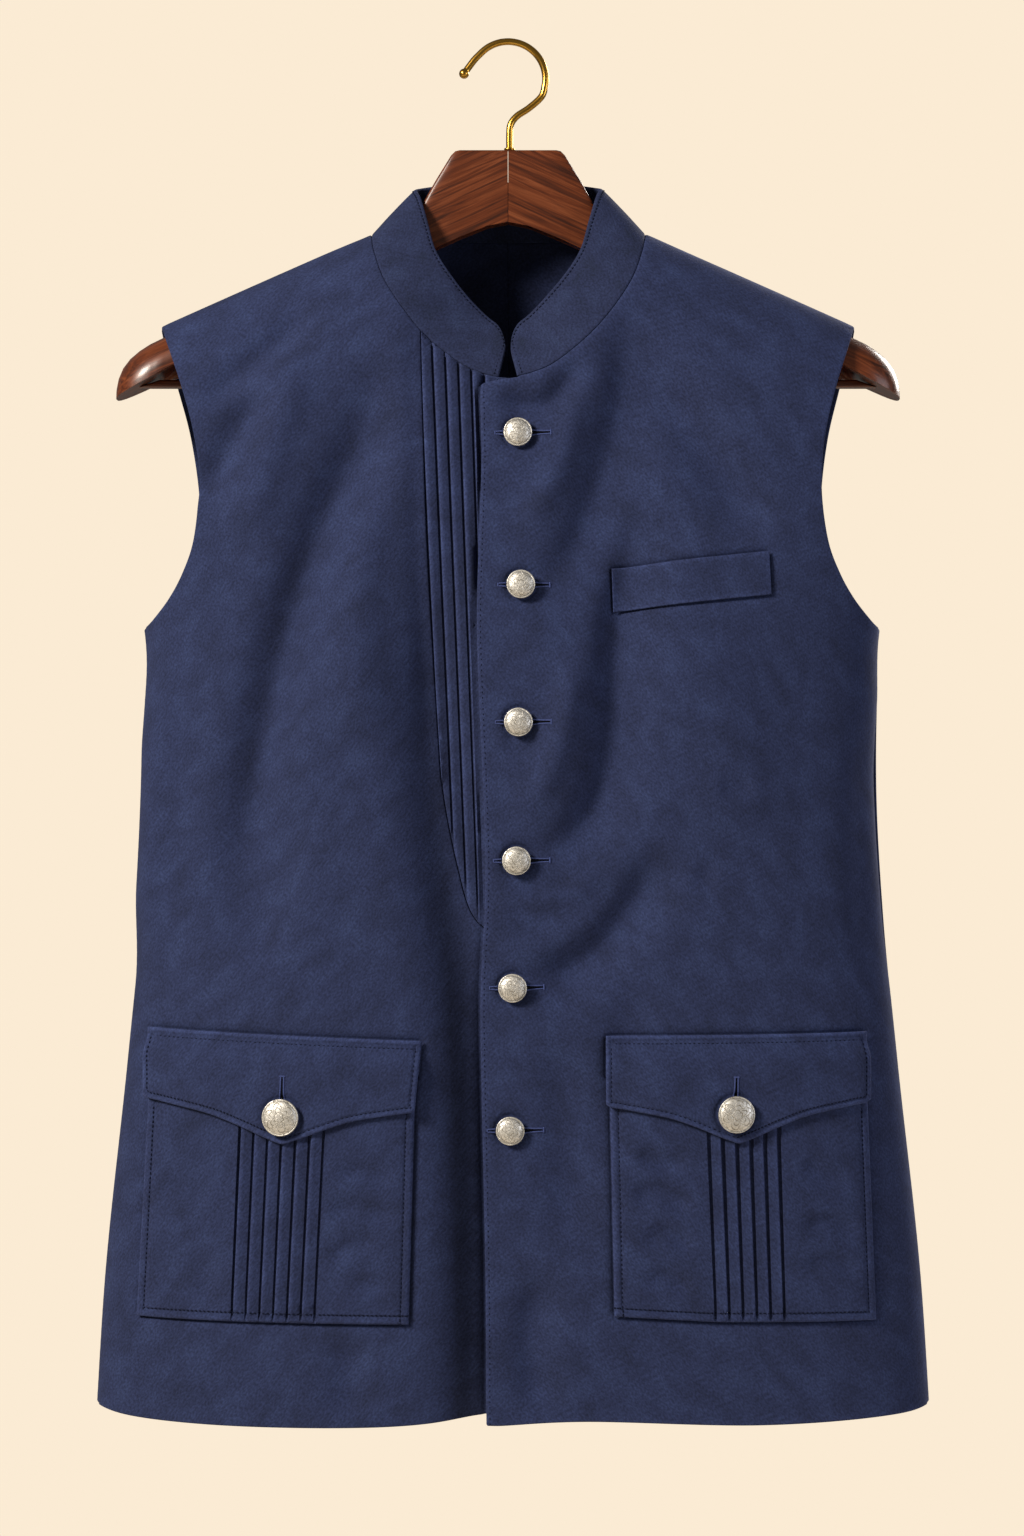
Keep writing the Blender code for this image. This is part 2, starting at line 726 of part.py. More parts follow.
def build_backs(cloth):
    neck = back_neckline()
    for side, name in ((-1, "back_left"), (1, "back_right")):
        half = [p for p in neck if p.x * side > 1]
        if side < 0:
            half = list(reversed(half))
        seam_x = side * SEAM_GAP / 2
        top = Point(seam_x + float(centre_x(BACK_NECK_HEIGHT)), BACK_NECK_HEIGHT)
        heights = np.linspace(SIDE_HEM, BACK_NECK_HEIGHT, 27)
        middle = [Point(float(centre_x(z)) + seam_x, float(z)) for z in heights]
        outline = joined(
            [top, *half],
            shoulder_line(side, BACK_STEP),
            armhole(side, BACK_ARMHOLE, 15.0),
            side_seam(side, BACK_STEP, SIDE_HEM),
            line_through([side_seam(side, BACK_STEP, SIDE_HEM)[-1], middle[0]], BACK_STEP),
            middle,
        )
        cloth_piece(name, outline, cloth, BACK_STEP, level, above(level, -WALL), face=1)


def build_collar(cloth):
    """The band round the neck, from the left front end over the back to the right."""
    left = list(reversed(front_neckline(-1)))
    right = front_neckline(1)
    back = back_neckline()[1:-1]
    xs = [p.x for p in (*left, *back, *right)]
    zs = [p.z for p in (*left, *back, *right)]
    faces = [-1] * len(left) + [1] * len(back) + [-1] * len(right)
    base, normal = [], []
    for x, z, face in zip(xs, zs, faces):
        lift = 0.0
        if face < 0:
            lift = float(left_lift(np.array(x), z) if x < 0 else right_lift(np.array(x), z))
        point, outward = place(np.array([x]), np.array([z]), np.array([lift]), face)
        base.append(point[0])
        normal.append(outward[0])
    base, normal = np.array(base), np.array(normal)
    along = np.concatenate([[0], np.cumsum(np.linalg.norm(np.diff(base, axis=0), axis=1))])
    total = along[-1]
    share = np.minimum(along, total - along) / (total / 2)
    side = np.where(along < total / 2, 1.0, -1.0)
    lean = np.stack([
        side * straight_table(COLLAR_LEAN, "inward", share),
        straight_table(COLLAR_LEAN, "back", share),
        straight_table(COLLAR_LEAN, "up", share),
    ], axis=-1)
    lean /= np.linalg.norm(lean, axis=1, keepdims=True)
    from_end = np.minimum(along, total - along)
    corner = np.clip(1 - from_end / COLLAR_END_RADIUS, 0, 1)
    rounding = (COLLAR_HEIGHT - COLLAR_END_HEIGHT) * (1 - np.sqrt(1 - corner**2))
    height = COLLAR_HEIGHT - rounding
    outward = np.cross(lean, np.gradient(base, axis=0))
    outward /= np.linalg.norm(outward, axis=1, keepdims=True)
    base = base + lean * SEAM_GAP * 1.3
    outer_rows, inner_rows = [], []
    for r in range(COLLAR_ROWS + 1):
        up = r / COLLAR_ROWS
        turn = normal * (1 - up) ** 2 + outward * (1 - (1 - up) ** 2)
        turn /= np.linalg.norm(turn, axis=1, keepdims=True)
        row = base + lean * (height * up)[:, None]
        outer_rows.append(row)
        inner_rows.append(row - turn * COLLAR_WALL)
    rings = [[*(row[i] for row in outer_rows), *(row[i] for row in reversed(inner_rows))]
             for i in range(len(base))]
    lofted("collar", rings, cloth)


def build_welt(cloth):
    outline = joined(line_through([*WELT, WELT[0]], TRIM_STEP, smooth=False))
    base = above(right_lift, LAY_GAP)
    cloth_piece("chest_welt", outline, cloth, TRIM_STEP, above(base, TRIM_WALL), base)


def build_patch(name, corners, pleats, base, cloth):
    """A patch pocket with pressed pleats down its middle."""
    outline = joined(line_through([*corners, corners[0]], TRIM_STEP, smooth=False))
    lines = pleat_lines(pleats, *PLEAT_REACH, PLEAT_STEP)
    inner = above(base, LAY_GAP)

    def outer(x, z):
        return inner(x, z) + TRIM_WALL + pleat_rise(pleats, x, z)

    cloth_piece(name, outline, cloth, TRIM_STEP, outer, inner, lines=lines)


def build_flap(name, flap, base, cloth):
    """A pointed flap that starts on the front and rises over the pocket."""
    middle = Point((flap.x0 + flap.x1) / 2, (flap.z0 + flap.z1) / 2)
    half = (flap.x1 - flap.x0) / 2
    edge = []
    for side in (-1, 1):
        rows = FLAP_EDGE if side > 0 else tuple(reversed(FLAP_EDGE[1:]))
        for row in rows:
            top = middle.z + (flap.z1 - flap.z0) / 2 * side * row.share
            edge.append(Point(middle.x + side * row.share * half, top - row.drop))
    outline = joined(
        line_through([edge[-1], Point(flap.x1, flap.z1), Point(flap.x0, flap.z0), edge[0]],
                     TRIM_STEP, smooth=False),
        line_through(edge, TRIM_STEP, smooth=False),
    )

    def inner(x, z):
        top = flap.z0 + (x - flap.x0) / (flap.x1 - flap.x0) * (flap.z1 - flap.z0)
        rise = np.clip((top - z - FLAP_LIFT_START) / FLAP_LIFT_RUN, 0, 1)
        return base(x, z) + LAY_GAP + (FLAP_LIFT - LAY_GAP) * rise * rise * (3 - 2 * rise)

    lines = []
    for drop in (FLAP_LIFT_START, FLAP_LIFT_START + FLAP_LIFT_RUN / 2,
                 FLAP_LIFT_START + FLAP_LIFT_RUN):
        ends = (Point(flap.x0 + 2, flap.z0 - drop), Point(flap.x1 - 2, flap.z1 - drop))
        lines.append(line_through(ends, TRIM_STEP))
    cloth_piece(name, outline, cloth, TRIM_STEP, above(inner, TRIM_WALL), inner, lines=lines)


# ---------------------------------------------------------------- hard pieces

def build_button(name, spot, radius, lift, metal):
    """A domed shank button standing on the cloth along its normal."""
    head = SHANK_HEIGHT
    dome = [Point(radius * math.cos(a), head + 1.6 + (BUTTON_HEIGHT - 1.6) * math.sin(a))
            for a in np.radians([0, 28, 52, 74])]
    profile = [
        Point(0.0, 0.0),
        Point(SHANK_RADIUS, 0.0),
        Point(SHANK_RADIUS, head),
        Point(radius * 0.9, head),
        Point(radius, head + 0.8),
        *dome,
        Point(0.0, head + BUTTON_HEIGHT),
    ]
    made = turned(name, profile, BUTTON_SIDES, metal)
    point, normal = place(np.array([spot.x]), np.array([spot.z]), np.array([lift + BUTTON_SEAT]))
    made.location = Vector(point[0]) * MM
    made.rotation_mode = "QUATERNION"
    made.rotation_quaternion = Vector(normal[0]).to_track_quat("Z", "X")


def build_buttons(metal):
    for number, spot in enumerate(FRONT_BUTTONS, 1):
        lift = float(right_lift(np.array(spot.x), spot.z))
        build_button(f"front_button_{number}", spot, FRONT_BUTTON_RADIUS, lift, metal)
    for side, spot in POCKET_BUTTONS.items():
        build_button(f"pocket_button_{side}", spot, POCKET_BUTTON_RADIUS,
                     FLAP_LIFT + TRIM_WALL, metal)


def arm_ring(row, side):
    """Cross-section of a hanger arm: an arch over a flat or hollowed underside."""
    ring = []
    for k in range(ARM_ARCH_POINTS):
        angle = math.pi * k / (ARM_ARCH_POINTS - 1)
        c, s = math.cos(angle), math.sin(angle)
        y = row.half_depth * math.copysign(abs(c) ** (2 / row.square), c)
        z = row.rim + (row.top - row.rim) * abs(s) ** (2 / row.square)
        ring.append((side * row.x, -y, z))
    start, end = ARM_GROOVE
    share = np.interp(row.x, [start - 30, start, end - 12, end], [0, 1, 1, 0])
    depth = ARM_GROOVE_DEPTH * float(share)
    for y in (ARM_LAND, ARM_LAND * 0.8, -ARM_LAND * 0.8, -ARM_LAND):
        groove = depth if abs(y) < ARM_LAND else 0.0
        ring.append((side * row.x, y * row.half_depth, row.rim + groove))
    return ring


def build_hanger(wood):
    for side, name in ((-1, "hanger_arm_left"), (1, "hanger_arm_right")):
        lofted(name, [arm_ring(row, side) for row in ARM], wood)
    half = BAR_HALF_DEPTH
    profile = [(-half, BAR_LOW), (half, BAR_LOW), (half, BAR_TOP), (-half, BAR_TOP)]
    slope = (BAR_LOW_X - BAR_TOP_X) / (BAR_TOP - BAR_LOW)
    rings = []
    for side in (-1, 1):
        rings.append([(side * (BAR_TOP_X + (BAR_TOP - z) * slope), y, z) for y, z in profile])
    bar = lofted("trouser_bar", rings, wood, smooth=False)
    bevel = bar.modifiers.new("edges", "BEVEL")
    bevel.width = BAR_BEVEL * MM
    bevel.segments = 1
    bevel.limit_method = "ANGLE"


def hook_route():
    """Centre line of the wire from the ball end to the foot."""
    arc = [Point(HOOK_CENTRE.x + HOOK_RADIUS * math.cos(a), HOOK_CENTRE.z + HOOK_RADIUS * math.sin(a))
           for a in np.radians(np.linspace(*HOOK_ARC, 17))]
    tail = line_through([arc[-1], *HOOK_TAIL], 4.0)
    return [HOOK_TIP, Point(-22.6, -12.6), Point(-19.2, -8.2), *arc, *tail[1:]]


def build_hook(brass):
    route = hook_route()
    tip = np.array([route[0].x, 0.0, route[0].z])
    first = np.array([route[1].x, 0.0, route[1].z])
    out = (tip - first) / np.linalg.norm(tip - first)
    stations = []
    for a in np.radians([78, 50, 20, -10, -36]):
        stations.append((tip + out * BALL_RADIUS * math.sin(a), BALL_RADIUS * math.cos(a)))
    stations += [(np.array([p.x, 0.0, p.z]), WIRE_RADIUS) for p in route[1:]]
    rings = []
    for i, (centre, radius) in enumerate(stations):
        before = stations[max(i - 1, 0)][0]
        after = stations[min(i + 1, len(stations) - 1)][0]
        run = (after - before) / np.linalg.norm(after - before)
        aside = np.array([0.0, 1.0, 0.0])
        up = np.cross(run, aside)
        rings.append([centre + radius * (math.cos(a) * aside + math.sin(a) * up)
                      for a in np.linspace(0, 2 * math.pi, WIRE_SIDES, endpoint=False)])
    lofted("hook", rings, brass)


def build_ferrule(brass):
    """The small collar round the hook's foot."""
    foot = HOOK_TAIL[-1]
    low = ARM[0].top + 0.3
    inner = WIRE_RADIUS + 0.35
    profile = [(inner, low), (FERRULE_RADIUS, low), (FERRULE_RADIUS, low + FERRULE_HEIGHT * 0.6),
               (FERRULE_RADIUS - 0.4, low + FERRULE_HEIGHT), (inner, low + FERRULE_HEIGHT)]
    sides = 20
    points, faces = [], []
    for k in range(sides):
        angle = 2 * math.pi * k / sides
        points += [(foot.x + r * math.cos(angle), r * math.sin(angle), z) for r, z in profile]
    count = len(profile)
    for k in range(sides):
        after = (k + 1) % sides
        for i in range(count):
            j = (i + 1) % count
            faces.append((k * count + i, k * count + j, after * count + j, after * count + i))
    add_object("hook_ferrule", points, faces, brass)


def main():
    for item in list(bpy.data.objects):
        bpy.data.objects.remove(item, do_unlink=True)
    cloth = material("brushed cotton", (0.035, 0.045, 0.12), 0.85)
    wood = material("walnut", (0.16, 0.055, 0.025), 0.35)
    brass = material("polished brass", (0.70, 0.45, 0.12), 0.2, 1.0)
    silver = material("antique silver", (0.62, 0.60, 0.55), 0.35, 1.0)
    build_fronts(cloth)
    build_tuck_panel(cloth)
    build_backs(cloth)
    build_collar(cloth)
    build_welt(cloth)
    for side, corners, pleats, flap, base in (
        ("left", LEFT_PATCH, LEFT_PLEATS, LEFT_FLAP, left_lift),
        ("right", RIGHT_PATCH, RIGHT_PLEATS, RIGHT_FLAP, right_lift),
    ):
        build_patch(f"pocket_{side}", corners, pleats, base, cloth)
        build_flap(f"flap_{side}", flap, base, cloth)
    build_buttons(silver)
    build_hanger(wood)
    build_hook(brass)
    build_ferrule(brass)


main()
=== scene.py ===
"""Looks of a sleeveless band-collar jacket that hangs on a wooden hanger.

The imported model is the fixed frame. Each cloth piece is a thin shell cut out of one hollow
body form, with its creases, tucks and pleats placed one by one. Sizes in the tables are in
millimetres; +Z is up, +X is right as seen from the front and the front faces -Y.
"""

import logging
import math
from collections.abc import Callable, Sequence
from dataclasses import dataclass
from enum import Enum
from typing import NamedTuple

import bmesh
import bpy
import numpy as np
from mathutils import Matrix, Vector
from mathutils.geometry import delaunay_2d_cdt

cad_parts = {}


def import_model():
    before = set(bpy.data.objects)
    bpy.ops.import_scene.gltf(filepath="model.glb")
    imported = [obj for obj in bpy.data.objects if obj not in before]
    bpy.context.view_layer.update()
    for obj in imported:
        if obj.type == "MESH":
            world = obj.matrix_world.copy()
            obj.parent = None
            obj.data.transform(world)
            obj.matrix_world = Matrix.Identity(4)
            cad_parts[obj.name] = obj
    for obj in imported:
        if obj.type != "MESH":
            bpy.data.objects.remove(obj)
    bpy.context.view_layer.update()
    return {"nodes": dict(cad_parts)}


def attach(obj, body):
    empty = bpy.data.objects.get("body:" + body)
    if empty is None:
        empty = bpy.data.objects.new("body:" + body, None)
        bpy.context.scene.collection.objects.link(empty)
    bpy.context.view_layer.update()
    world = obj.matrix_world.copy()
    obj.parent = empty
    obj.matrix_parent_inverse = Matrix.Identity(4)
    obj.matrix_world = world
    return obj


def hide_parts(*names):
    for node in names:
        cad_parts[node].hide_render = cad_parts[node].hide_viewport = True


LOG = logging.getLogger("jacket")
BODY = "root"
MM = 0.001

Array = np.ndarray
Lift = Callable[[Array, Array], Array]
Material = bpy.types.Material
Piece = bpy.types.Object
Socket = bpy.types.NodeSocket
Stop = tuple[float, str]
Faces = list[list[int]]


class Face(Enum):
    """The two halves of the body form."""

    FRONT = -1
    BACK = 1


class Side(Enum):
    """Left and right as seen from the front."""

    LEFT = -1
    RIGHT = 1


class Point(NamedTuple):
    """A place seen from the front."""

    x: float
    z: float


# ---- tables of sizes


def table(kind: type, *values: Sequence[object]) -> tuple:
    """A table: one row of its kind from each group of values."""
    return tuple(kind(*value) for value in values)


class BodyRow(NamedTuple):
    """One height of the body form."""

    height: float
    half_width: float
    front_depth: float
    back_depth: float


BODY_ROWS = table(
    BodyRow,
    (-60, 262, 43, 42), (-110, 260, 44, 44), (-166, 256, 47, 46),
    (-250, 240, 53, 48), (-300, 224, 57, 50), (-338, 213.4, 59, 50),
    (-382, 211.7, 60, 50), (-425, 211.2, 60, 50), (-506, 215.2, 60, 50),
    (-587, 223, 60, 51), (-716, 236.6, 61, 53), (-800, 242, 62, 54),
)


class CentreRow(NamedTuple):
    """How far the body's middle stands to the right."""

    height: float
    shift: float


CENTRE_ROWS = table(CentreRow, (-790, 2.9), (-338, 2.3), (-166, 0))


class RollRow(NamedTuple):
    """How far down the shoulder rounds over, by distance from the middle."""

    half_x: float
    radius: float


ROLL_ROWS = (RollRow(60, 90), RollRow(200, 55))


class Crease(NamedTuple):
    """A soft trough along a route; a ridge where its depth is negative."""

    route: tuple[tuple[float, float], ...]
    left: float
    right: float
    depth: float


FRONT_CREASES = table(
    Crease,
    # left front, from the shoulder down
    (((-115, -178), (-135, -239), (-152, -301)), 16, 14, -1.6),
    (((-66, -162), (-83, -230), (-110, -296), (-132, -362), (-150, -450), (-160, -530)),
     15, 18, 3.4),
    (((-74, -235), (-86, -324), (-84, -420)), 20, 16, -1.4),
    (((-106, -152), (-144, -187), (-178, -214)), 9, 8, 1.3),
    (((-136, -200), (-158, -236), (-178, -272)), 11, 9, 1.7),
    (((-89, -736), (-90, -758), (-89, -790)), 13, 12, 1.1),
    (((-196, -356), (-203, -450), (-206, -545)), 14, 10, -1.2),
    (((-120, -430), (-132, -470), (-150, -540)), 18, 15, 1.3),
    # right front, from the collar down
    (((-9, -206), (8, -213), (26, -211), (44, -184)), 7, 7, 1.7),
    (((72, -140), (66, -210), (54, -255), (36, -302), (4, -336)), 13, 24, 2.6),
    (((40, -190), (34, -230), (22, -262), (4, -290)), 8, 8, -1),
    (((84, -250), (64, -330), (59, -396), (49, -440), (26, -468), (-12, -478)), 12, 20, 3.3),
    (((38, -350), (31, -396), (19, -430), (-2, -446)), 8, 8, -1.2),
    (((98, -456), (70, -498), (50, -523), (24, -539), (4, -547)), 13, 16, 2.8),
    (((66, -470), (46, -494), (18, -508), (-12, -506)), 7, 8, 0.7),
    (((80, -520), (64, -580), (54, -660)), 14, 16, 0.8),
    (((-8, -481), (18, -488), (47, -482)), 4, 5, 0.45),
    (((-5, -497), (18, -501), (41, -493)), 4, 5, 0.4),
    (((-5, -404), (7, -410), (22, -404)), 4, 5, 0.45),
    (((75, -182), (103, -222), (132, -268), (158, -292)), 18, 15, 1.7),
    (((118, -428), (128, -432), (139, -428)), 6, 7, 0.6),
    (((105, -476), (112, -481), (119, -483)), 7, 7, 0.55),
    (((208, -372), (205, -466), (208, -556)), 12, 12, 0.6),
    (((25, -696), (13, -735), (19, -790)), 11, 12, 1.7),
    (((30, -560), (34, -640), (40, -700)), 14, 16, 1.1),
    (((95, -330), (120, -390), (130, -470)), 30, 26, -1.2),
)

UNDER_LAP_CREASES = table(
    Crease,
    (((-51, -110), (-49, -230), (-46, -330), (-40, -430)), 9, 24, 0.9),
    (((-46, -250), (-42, -350), (-37, -420), (-27, -500), (-17, -560), (-12, -640),
      (-11, -740), (-10, -1000)), 23, 26, 4.0),
)

BACK_CREASES = table(
    Crease,
    (((-60, -140), (-92, -210), (-132, -300), (-150, -380)), 15, 18, 2.6),
    (((62, -138), (84, -205), (118, -292), (150, -366)), 18, 14, 2.9),
    (((-28, -150), (-36, -220), (-30, -300)), 14, 12, 1.6),
    (((30, -160), (34, -250), (27, -330)), 12, 14, 1.4),
    (((-150, -200), (-168, -250), (-172, -300)), 10, 10, 1.3),
    (((146, -196), (165, -240), (173, -290)), 10, 11, 1.5),
    (((-120, -430), (-134, -530), (-128, -640)), 20, 18, 2.2),
    (((108, -410), (128, -520), (124, -620)), 18, 20, 2.4),
    (((-56, -470), (-62, -590), (-54, -720)), 17, 17, 1.6),
    (((52, -500), (66, -620), (60, -770)), 18, 16, 1.8),
    (((-180, -560), (-186, -660), (-180, -780)), 16, 14, 1.6),
    (((176, -600), (184, -700), (178, -790)), 14, 16, 1.5),
    (((-14, -420), (-10, -520), (-16, -600)), 12, 12, 1.1),
    (((18, -640), (14, -700), (20, -790)), 12, 12, 1.2),
    (((-100, -300), (-60, -330), (-30, -326)), 9, 9, 1),
)

POCKET_CREASES = {
    Side.LEFT: table(
        Crease,
        (((-101, -650), (-84, -646), (-63, -654)), 5, 5, 0.9),
        (((-103, -671), (-84, -666), (-60, -677)), 5, 6, 1.0),
        (((-103, -698), (-89, -688), (-72, -685)), 5, 5, 0.8),
        (((-200, -660), (-187, -656), (-166, -664)), 6, 6, 0.7),
        (((-176, -690), (-170, -706), (-172, -724)), 7, 7, 0.6),
        (((-90, -706), (-76, -712), (-66, -709)), 5, 5, 0.6),
    ),
    Side.RIGHT: table(
        Crease,
        (((72, -634), (88, -643), (104, -640)), 4, 5, 1.0),
        (((68, -663), (86, -658), (105, -671)), 5, 5, 1.2),
        (((73, -689), (88, -681), (105, -691)), 4, 5, 1.0),
        (((74, -711), (88, -705), (104, -714)), 5, 4, 0.8),
        (((163, -681), (183, -677), (200, -685)), 5, 5, 0.9),
        (((164, -704), (183, -699), (200, -708)), 4, 5, 0.7),
        (((166, -640), (180, -652), (196, -655)), 6, 6, 0.7),
    ),
}

NECK_HALF = 79.5
TIP_HALF = 201.0
FRONT_NECK = table(
    Point,
    (77, -123), (69, -143.5), (50, -169.5), (28, -188.5), (14, -195.2),
    (5.2, -197.3),
)
BACK_NECK_HEIGHT = -110.1
FRONT_ARMHOLE = table(
    Point,
    (198, -170), (187, -201), (179.6, -231), (177.4, -260), (180.7, -289),
    (187.6, -308), (196.4, -322.7), (207, -334.5),
)
BACK_ARMHOLE = table(
    Point,
    (201.5, -169), (195, -196), (188, -225), (184, -255), (184, -280),
    (189, -303), (197, -320), (207, -333.5),
)
UNDERARM = -339.0
SIDE_HEM = -786.5
LEFT_HEM = table(
    Point,
    (-212, -789.5), (-150, -791.5), (-75, -791), (-13, -787),
)
RIGHT_HEM = table(
    Point,
    (220, -788.6), (140, -790.5), (46, -787.4), (-6, -789.6),
)
UNDER_EDGE = 22.0
UNDER_TOP = Point(UNDER_EDGE, -199.6)
UNDER_HEM = Point(UNDER_EDGE, -786.5)
LAP_EDGE = table(
    Point,
    (-12.1, -788.5), (-12.6, -707), (-14.8, -600), (-15.4, -545), (-12.9, -494),
    (-13.4, -447), (-17.4, -346), (-16.2, -285), (-15, -245), (-15.7, -206.5),
)
LAP_CORNER = table(
    Point,
    (-15.2, -203.2), (-13.4, -201.4), (-5.6, -199.6),
)
TUCK_SEAM = table(
    Point,
    (-50, -169.5), (-46.2, -290), (-40.2, -400), (-37.1, -435), (-29.3, -474.5),
    (-20.5, -503), (-6, -513.5), (UNDER_EDGE, -516),
)
LEFT_PATCH = table(
    Point,
    (-203.6, -594), (-210.9, -731.6), (-56, -732.8), (-52.2, -594),
)
RIGHT_PATCH = table(
    Point,
    (57.2, -594), (59.9, -728), (117.5, -731.6), (208.9, -733.4), (203.6, -594),
)
WELT = table(
    Point,
    (58.9, -305.9), (147.7, -296.4), (149, -321), (60, -330.5),
)

FLAP_SIDES = {      # each flap's left side from its foot up, then its right side down
    Side.LEFT: table(Point, (-206, -594), (-205, -567.3), (-48.7, -573.3), (-50.5, -594)),
    Side.RIGHT: table(Point, (55.2, -594), (55.2, -570.2), (203.8, -569.6), (203.8, -594)),
}


class FlapRow(NamedTuple):
    """How far the flap hangs down, by its share of the half width from the middle."""

    share: float
    drop: float


FLAP_EDGE = table(
    FlapRow,
    (0, 61), (0.04, 60.2), (0.15, 57), (0.30, 52.2), (0.53, 46.2), (0.85, 41.6),
    (0.97, 40.2), (1, 38.4),
)


class LeanRow(NamedTuple):
    """The way the collar stands, by its share of the half neckline from the front end."""

    share: float
    inward: float
    back: float
    up: float


COLLAR_LEAN = table(
    LeanRow,
    (0.00, 0.21, 0.50, 0.85), (0.12, 0.52, 0.47, 0.71), (0.23, 0.68, 0.37, 0.64),
    (0.36, 0.75, 0.34, 0.57), (0.47, 0.82, 0.24, 0.52), (0.60, 0.70, 0.03, 0.71),
    (0.80, 0.42, -0.28, 0.86), (1.00, 0.00, -0.45, 0.89),
)


class ArmRow(NamedTuple):
    """One section of a hanger arm, by distance from the middle."""

    x: float
    top: float
    rim: float
    half_depth: float
    square: float


ARM_ROWS = table(
    ArmRow,
    (0.15, -61.5, -103.3, 6, 9), (12, -61.5, -105.6, 6, 9),
    (28, -61.5, -112, 6, 9), (30.5, -62.1, -113.2, 6, 9),
    (33, -64.6, -114.3, 6, 9), (42, -79.2, -118.4, 5.8, 8),
    (51, -95, -122.6, 5.8, 6), (60, -107, -126.8, 6.6, 4),
    (80, -116, -136, 9.4, 2.8), (120, -133.2, -153, 14.8, 2.4),
    (160, -151.4, -170.8, 20.3, 2.3), (185, -163.2, -184, 23.2, 2.2),
    (200, -170.4, -191.8, 23.6, 2.2), (207, -173.8, -195.6, 23, 2.2),
    (213, -177.6, -198.6, 21.6, 2.2), (218.5, -182.2, -201.4, 19, 2.2),
    (222.6, -187.4, -203.5, 15.6, 2.2), (225.2, -193.2, -204.9, 11.2, 2.2),
    (226.4, -198.4, -205.5, 7.4, 2.2), (226.9, -202.9, -205.7, 3.2, 2.2),
)

FRONT_BUTTONS = table(
    Point,
    (5.6, -229.8), (7.3, -315.9), (5.9, -393.4), (4.8, -471.5), (2.6, -543.1), (1.3, -623.4),
)
BUTTONHOLE_ENDS = (24.3, 23.7, 24.4, 23.7, 20.3, 20.1)
HOOK_TIP = Point(-25.5, -16.6)
HOOK_TAIL = table(
    Point,
    (19.6, -29.6), (12.2, -36.5), (5.2, -41.2), (1.6, -46), (0.9, -52), (0.9, -61.1),
)


# ---- reading tables and lines


def smooth_table(rows: Sequence[NamedTuple], column: str, at: Array) -> Array:
    """Read a column of a table smoothly.

    Args:
        rows: The table; its first column says where each row stands.
        column: The column to read.
        at: Where to read it.

    Returns:
        The column's values there, on a cubic through the rows.
    """
    order = sorted(rows, key=lambda row: row[0])
    xs = np.array([row[0] for row in order], float)
    ys = np.array([getattr(row, column) for row in order], float)
    at = np.clip(at, xs[0], xs[-1])
    slope = np.gradient(ys, xs)
    i = np.clip(np.searchsorted(xs, at) - 1, 0, len(xs) - 2)
    run = xs[i + 1] - xs[i]
    s = (at - xs[i]) / run
    start = (2 * s**3 - 3 * s**2 + 1) * ys[i] + (s**3 - 2 * s**2 + s) * run * slope[i]
    end = (3 * s**2 - 2 * s**3) * ys[i + 1] + (s**3 - s**2) * run * slope[i + 1]
    return start + end


def straight_table(rows: Sequence[NamedTuple], column: str, at: Array) -> Array:
    """Read a column of a table along straight lines between its rows."""
    order = sorted(rows, key=lambda row: row[0])
    return np.interp(at, [row[0] for row in order], [getattr(row, column) for row in order])


def pairs(first: Array, second: Array) -> Array:
    """Two columns side by side."""
    return np.stack([first, second], axis=1)


def unit(vectors: Array) -> Array:
    """The same directions, each one long."""
    return vectors / np.maximum(np.linalg.norm(vectors, axis=1, keepdims=True), 1e-9)


def near(places: Array, line: Array, reach: float) -> Array:
    """Whether each place is in the box that a line fills, with a reach round it."""
    low, high = line.min(axis=0) - reach, line.max(axis=0) + reach
    return np.all((places > low) & (places < high), axis=1)


def shifted(lift: Lift, by: float) -> Lift:
    """A face moved outwards by a distance."""
    return lambda x, z: lift(x, z) + by


def ease(share: Array) -> Array:
    """Turn a share from 0 to 1 into one that starts and ends softly."""
    share = np.clip(share, 0, 1)
    return share * share * (3 - 2 * share)


def line_through(points: Sequence[Sequence[float]], step: float, smooth: bool = True) -> Array:
    """Places along a line through points, about a step apart.

    Args:
        points: The places that the line passes.
        step: The spacing wanted.
        smooth: Whether it curves through them or runs straight.

    Returns:
        An array with a row for each place, both ends included.
    """
    given = [np.array(point, float) for point in points]
    padded = [2 * given[0] - given[1], *given, 2 * given[-1] - given[-2]]
    out = [given[0]]
    for i in range(1, len(padded) - 2):
        p0, p1, p2, p3 = padded[i - 1 : i + 3]
        count = max(1, round(float(np.linalg.norm(p2 - p1)) / step))
        for k in range(1, count + 1):
            t = k / count
            curve = 2 * p1 + (p2 - p0) * t
            curve = curve + (2 * p0 - 5 * p1 + 4 * p2 - p3) * t**2
            curve = curve + (3 * p1 - p0 - 3 * p2 + p3) * t**3
            out.append(curve / 2 if smooth else p1 + (p2 - p1) * t)
    return np.array(out)


def joined(*lines: Array) -> Array:
    """One closed outline from lines that meet end to end."""
    out: list[Array] = []
    for place in np.concatenate(lines):
        if not out or np.linalg.norm(place - out[-1]) > 0.05:
            out.append(place)
    if np.linalg.norm(out[0] - out[-1]) <= 0.05:
        out.pop()
    return np.array(out)


def evenly(line: Array, step: float, closed: bool = False) -> Array:
    """The same line with its points a step apart along it."""
    if closed:
        line = np.vstack([line, line[:1]])
    along = np.concatenate([[0], np.cumsum(np.linalg.norm(np.diff(line, axis=0), axis=1))])
    count = max(2, round(along[-1] / step) + 1)
    at = np.linspace(0, along[-1], count)
    out = np.stack([np.interp(at, along, line[:, i]) for i in range(line.shape[1])], axis=1)
    return out[:-1] if closed else out


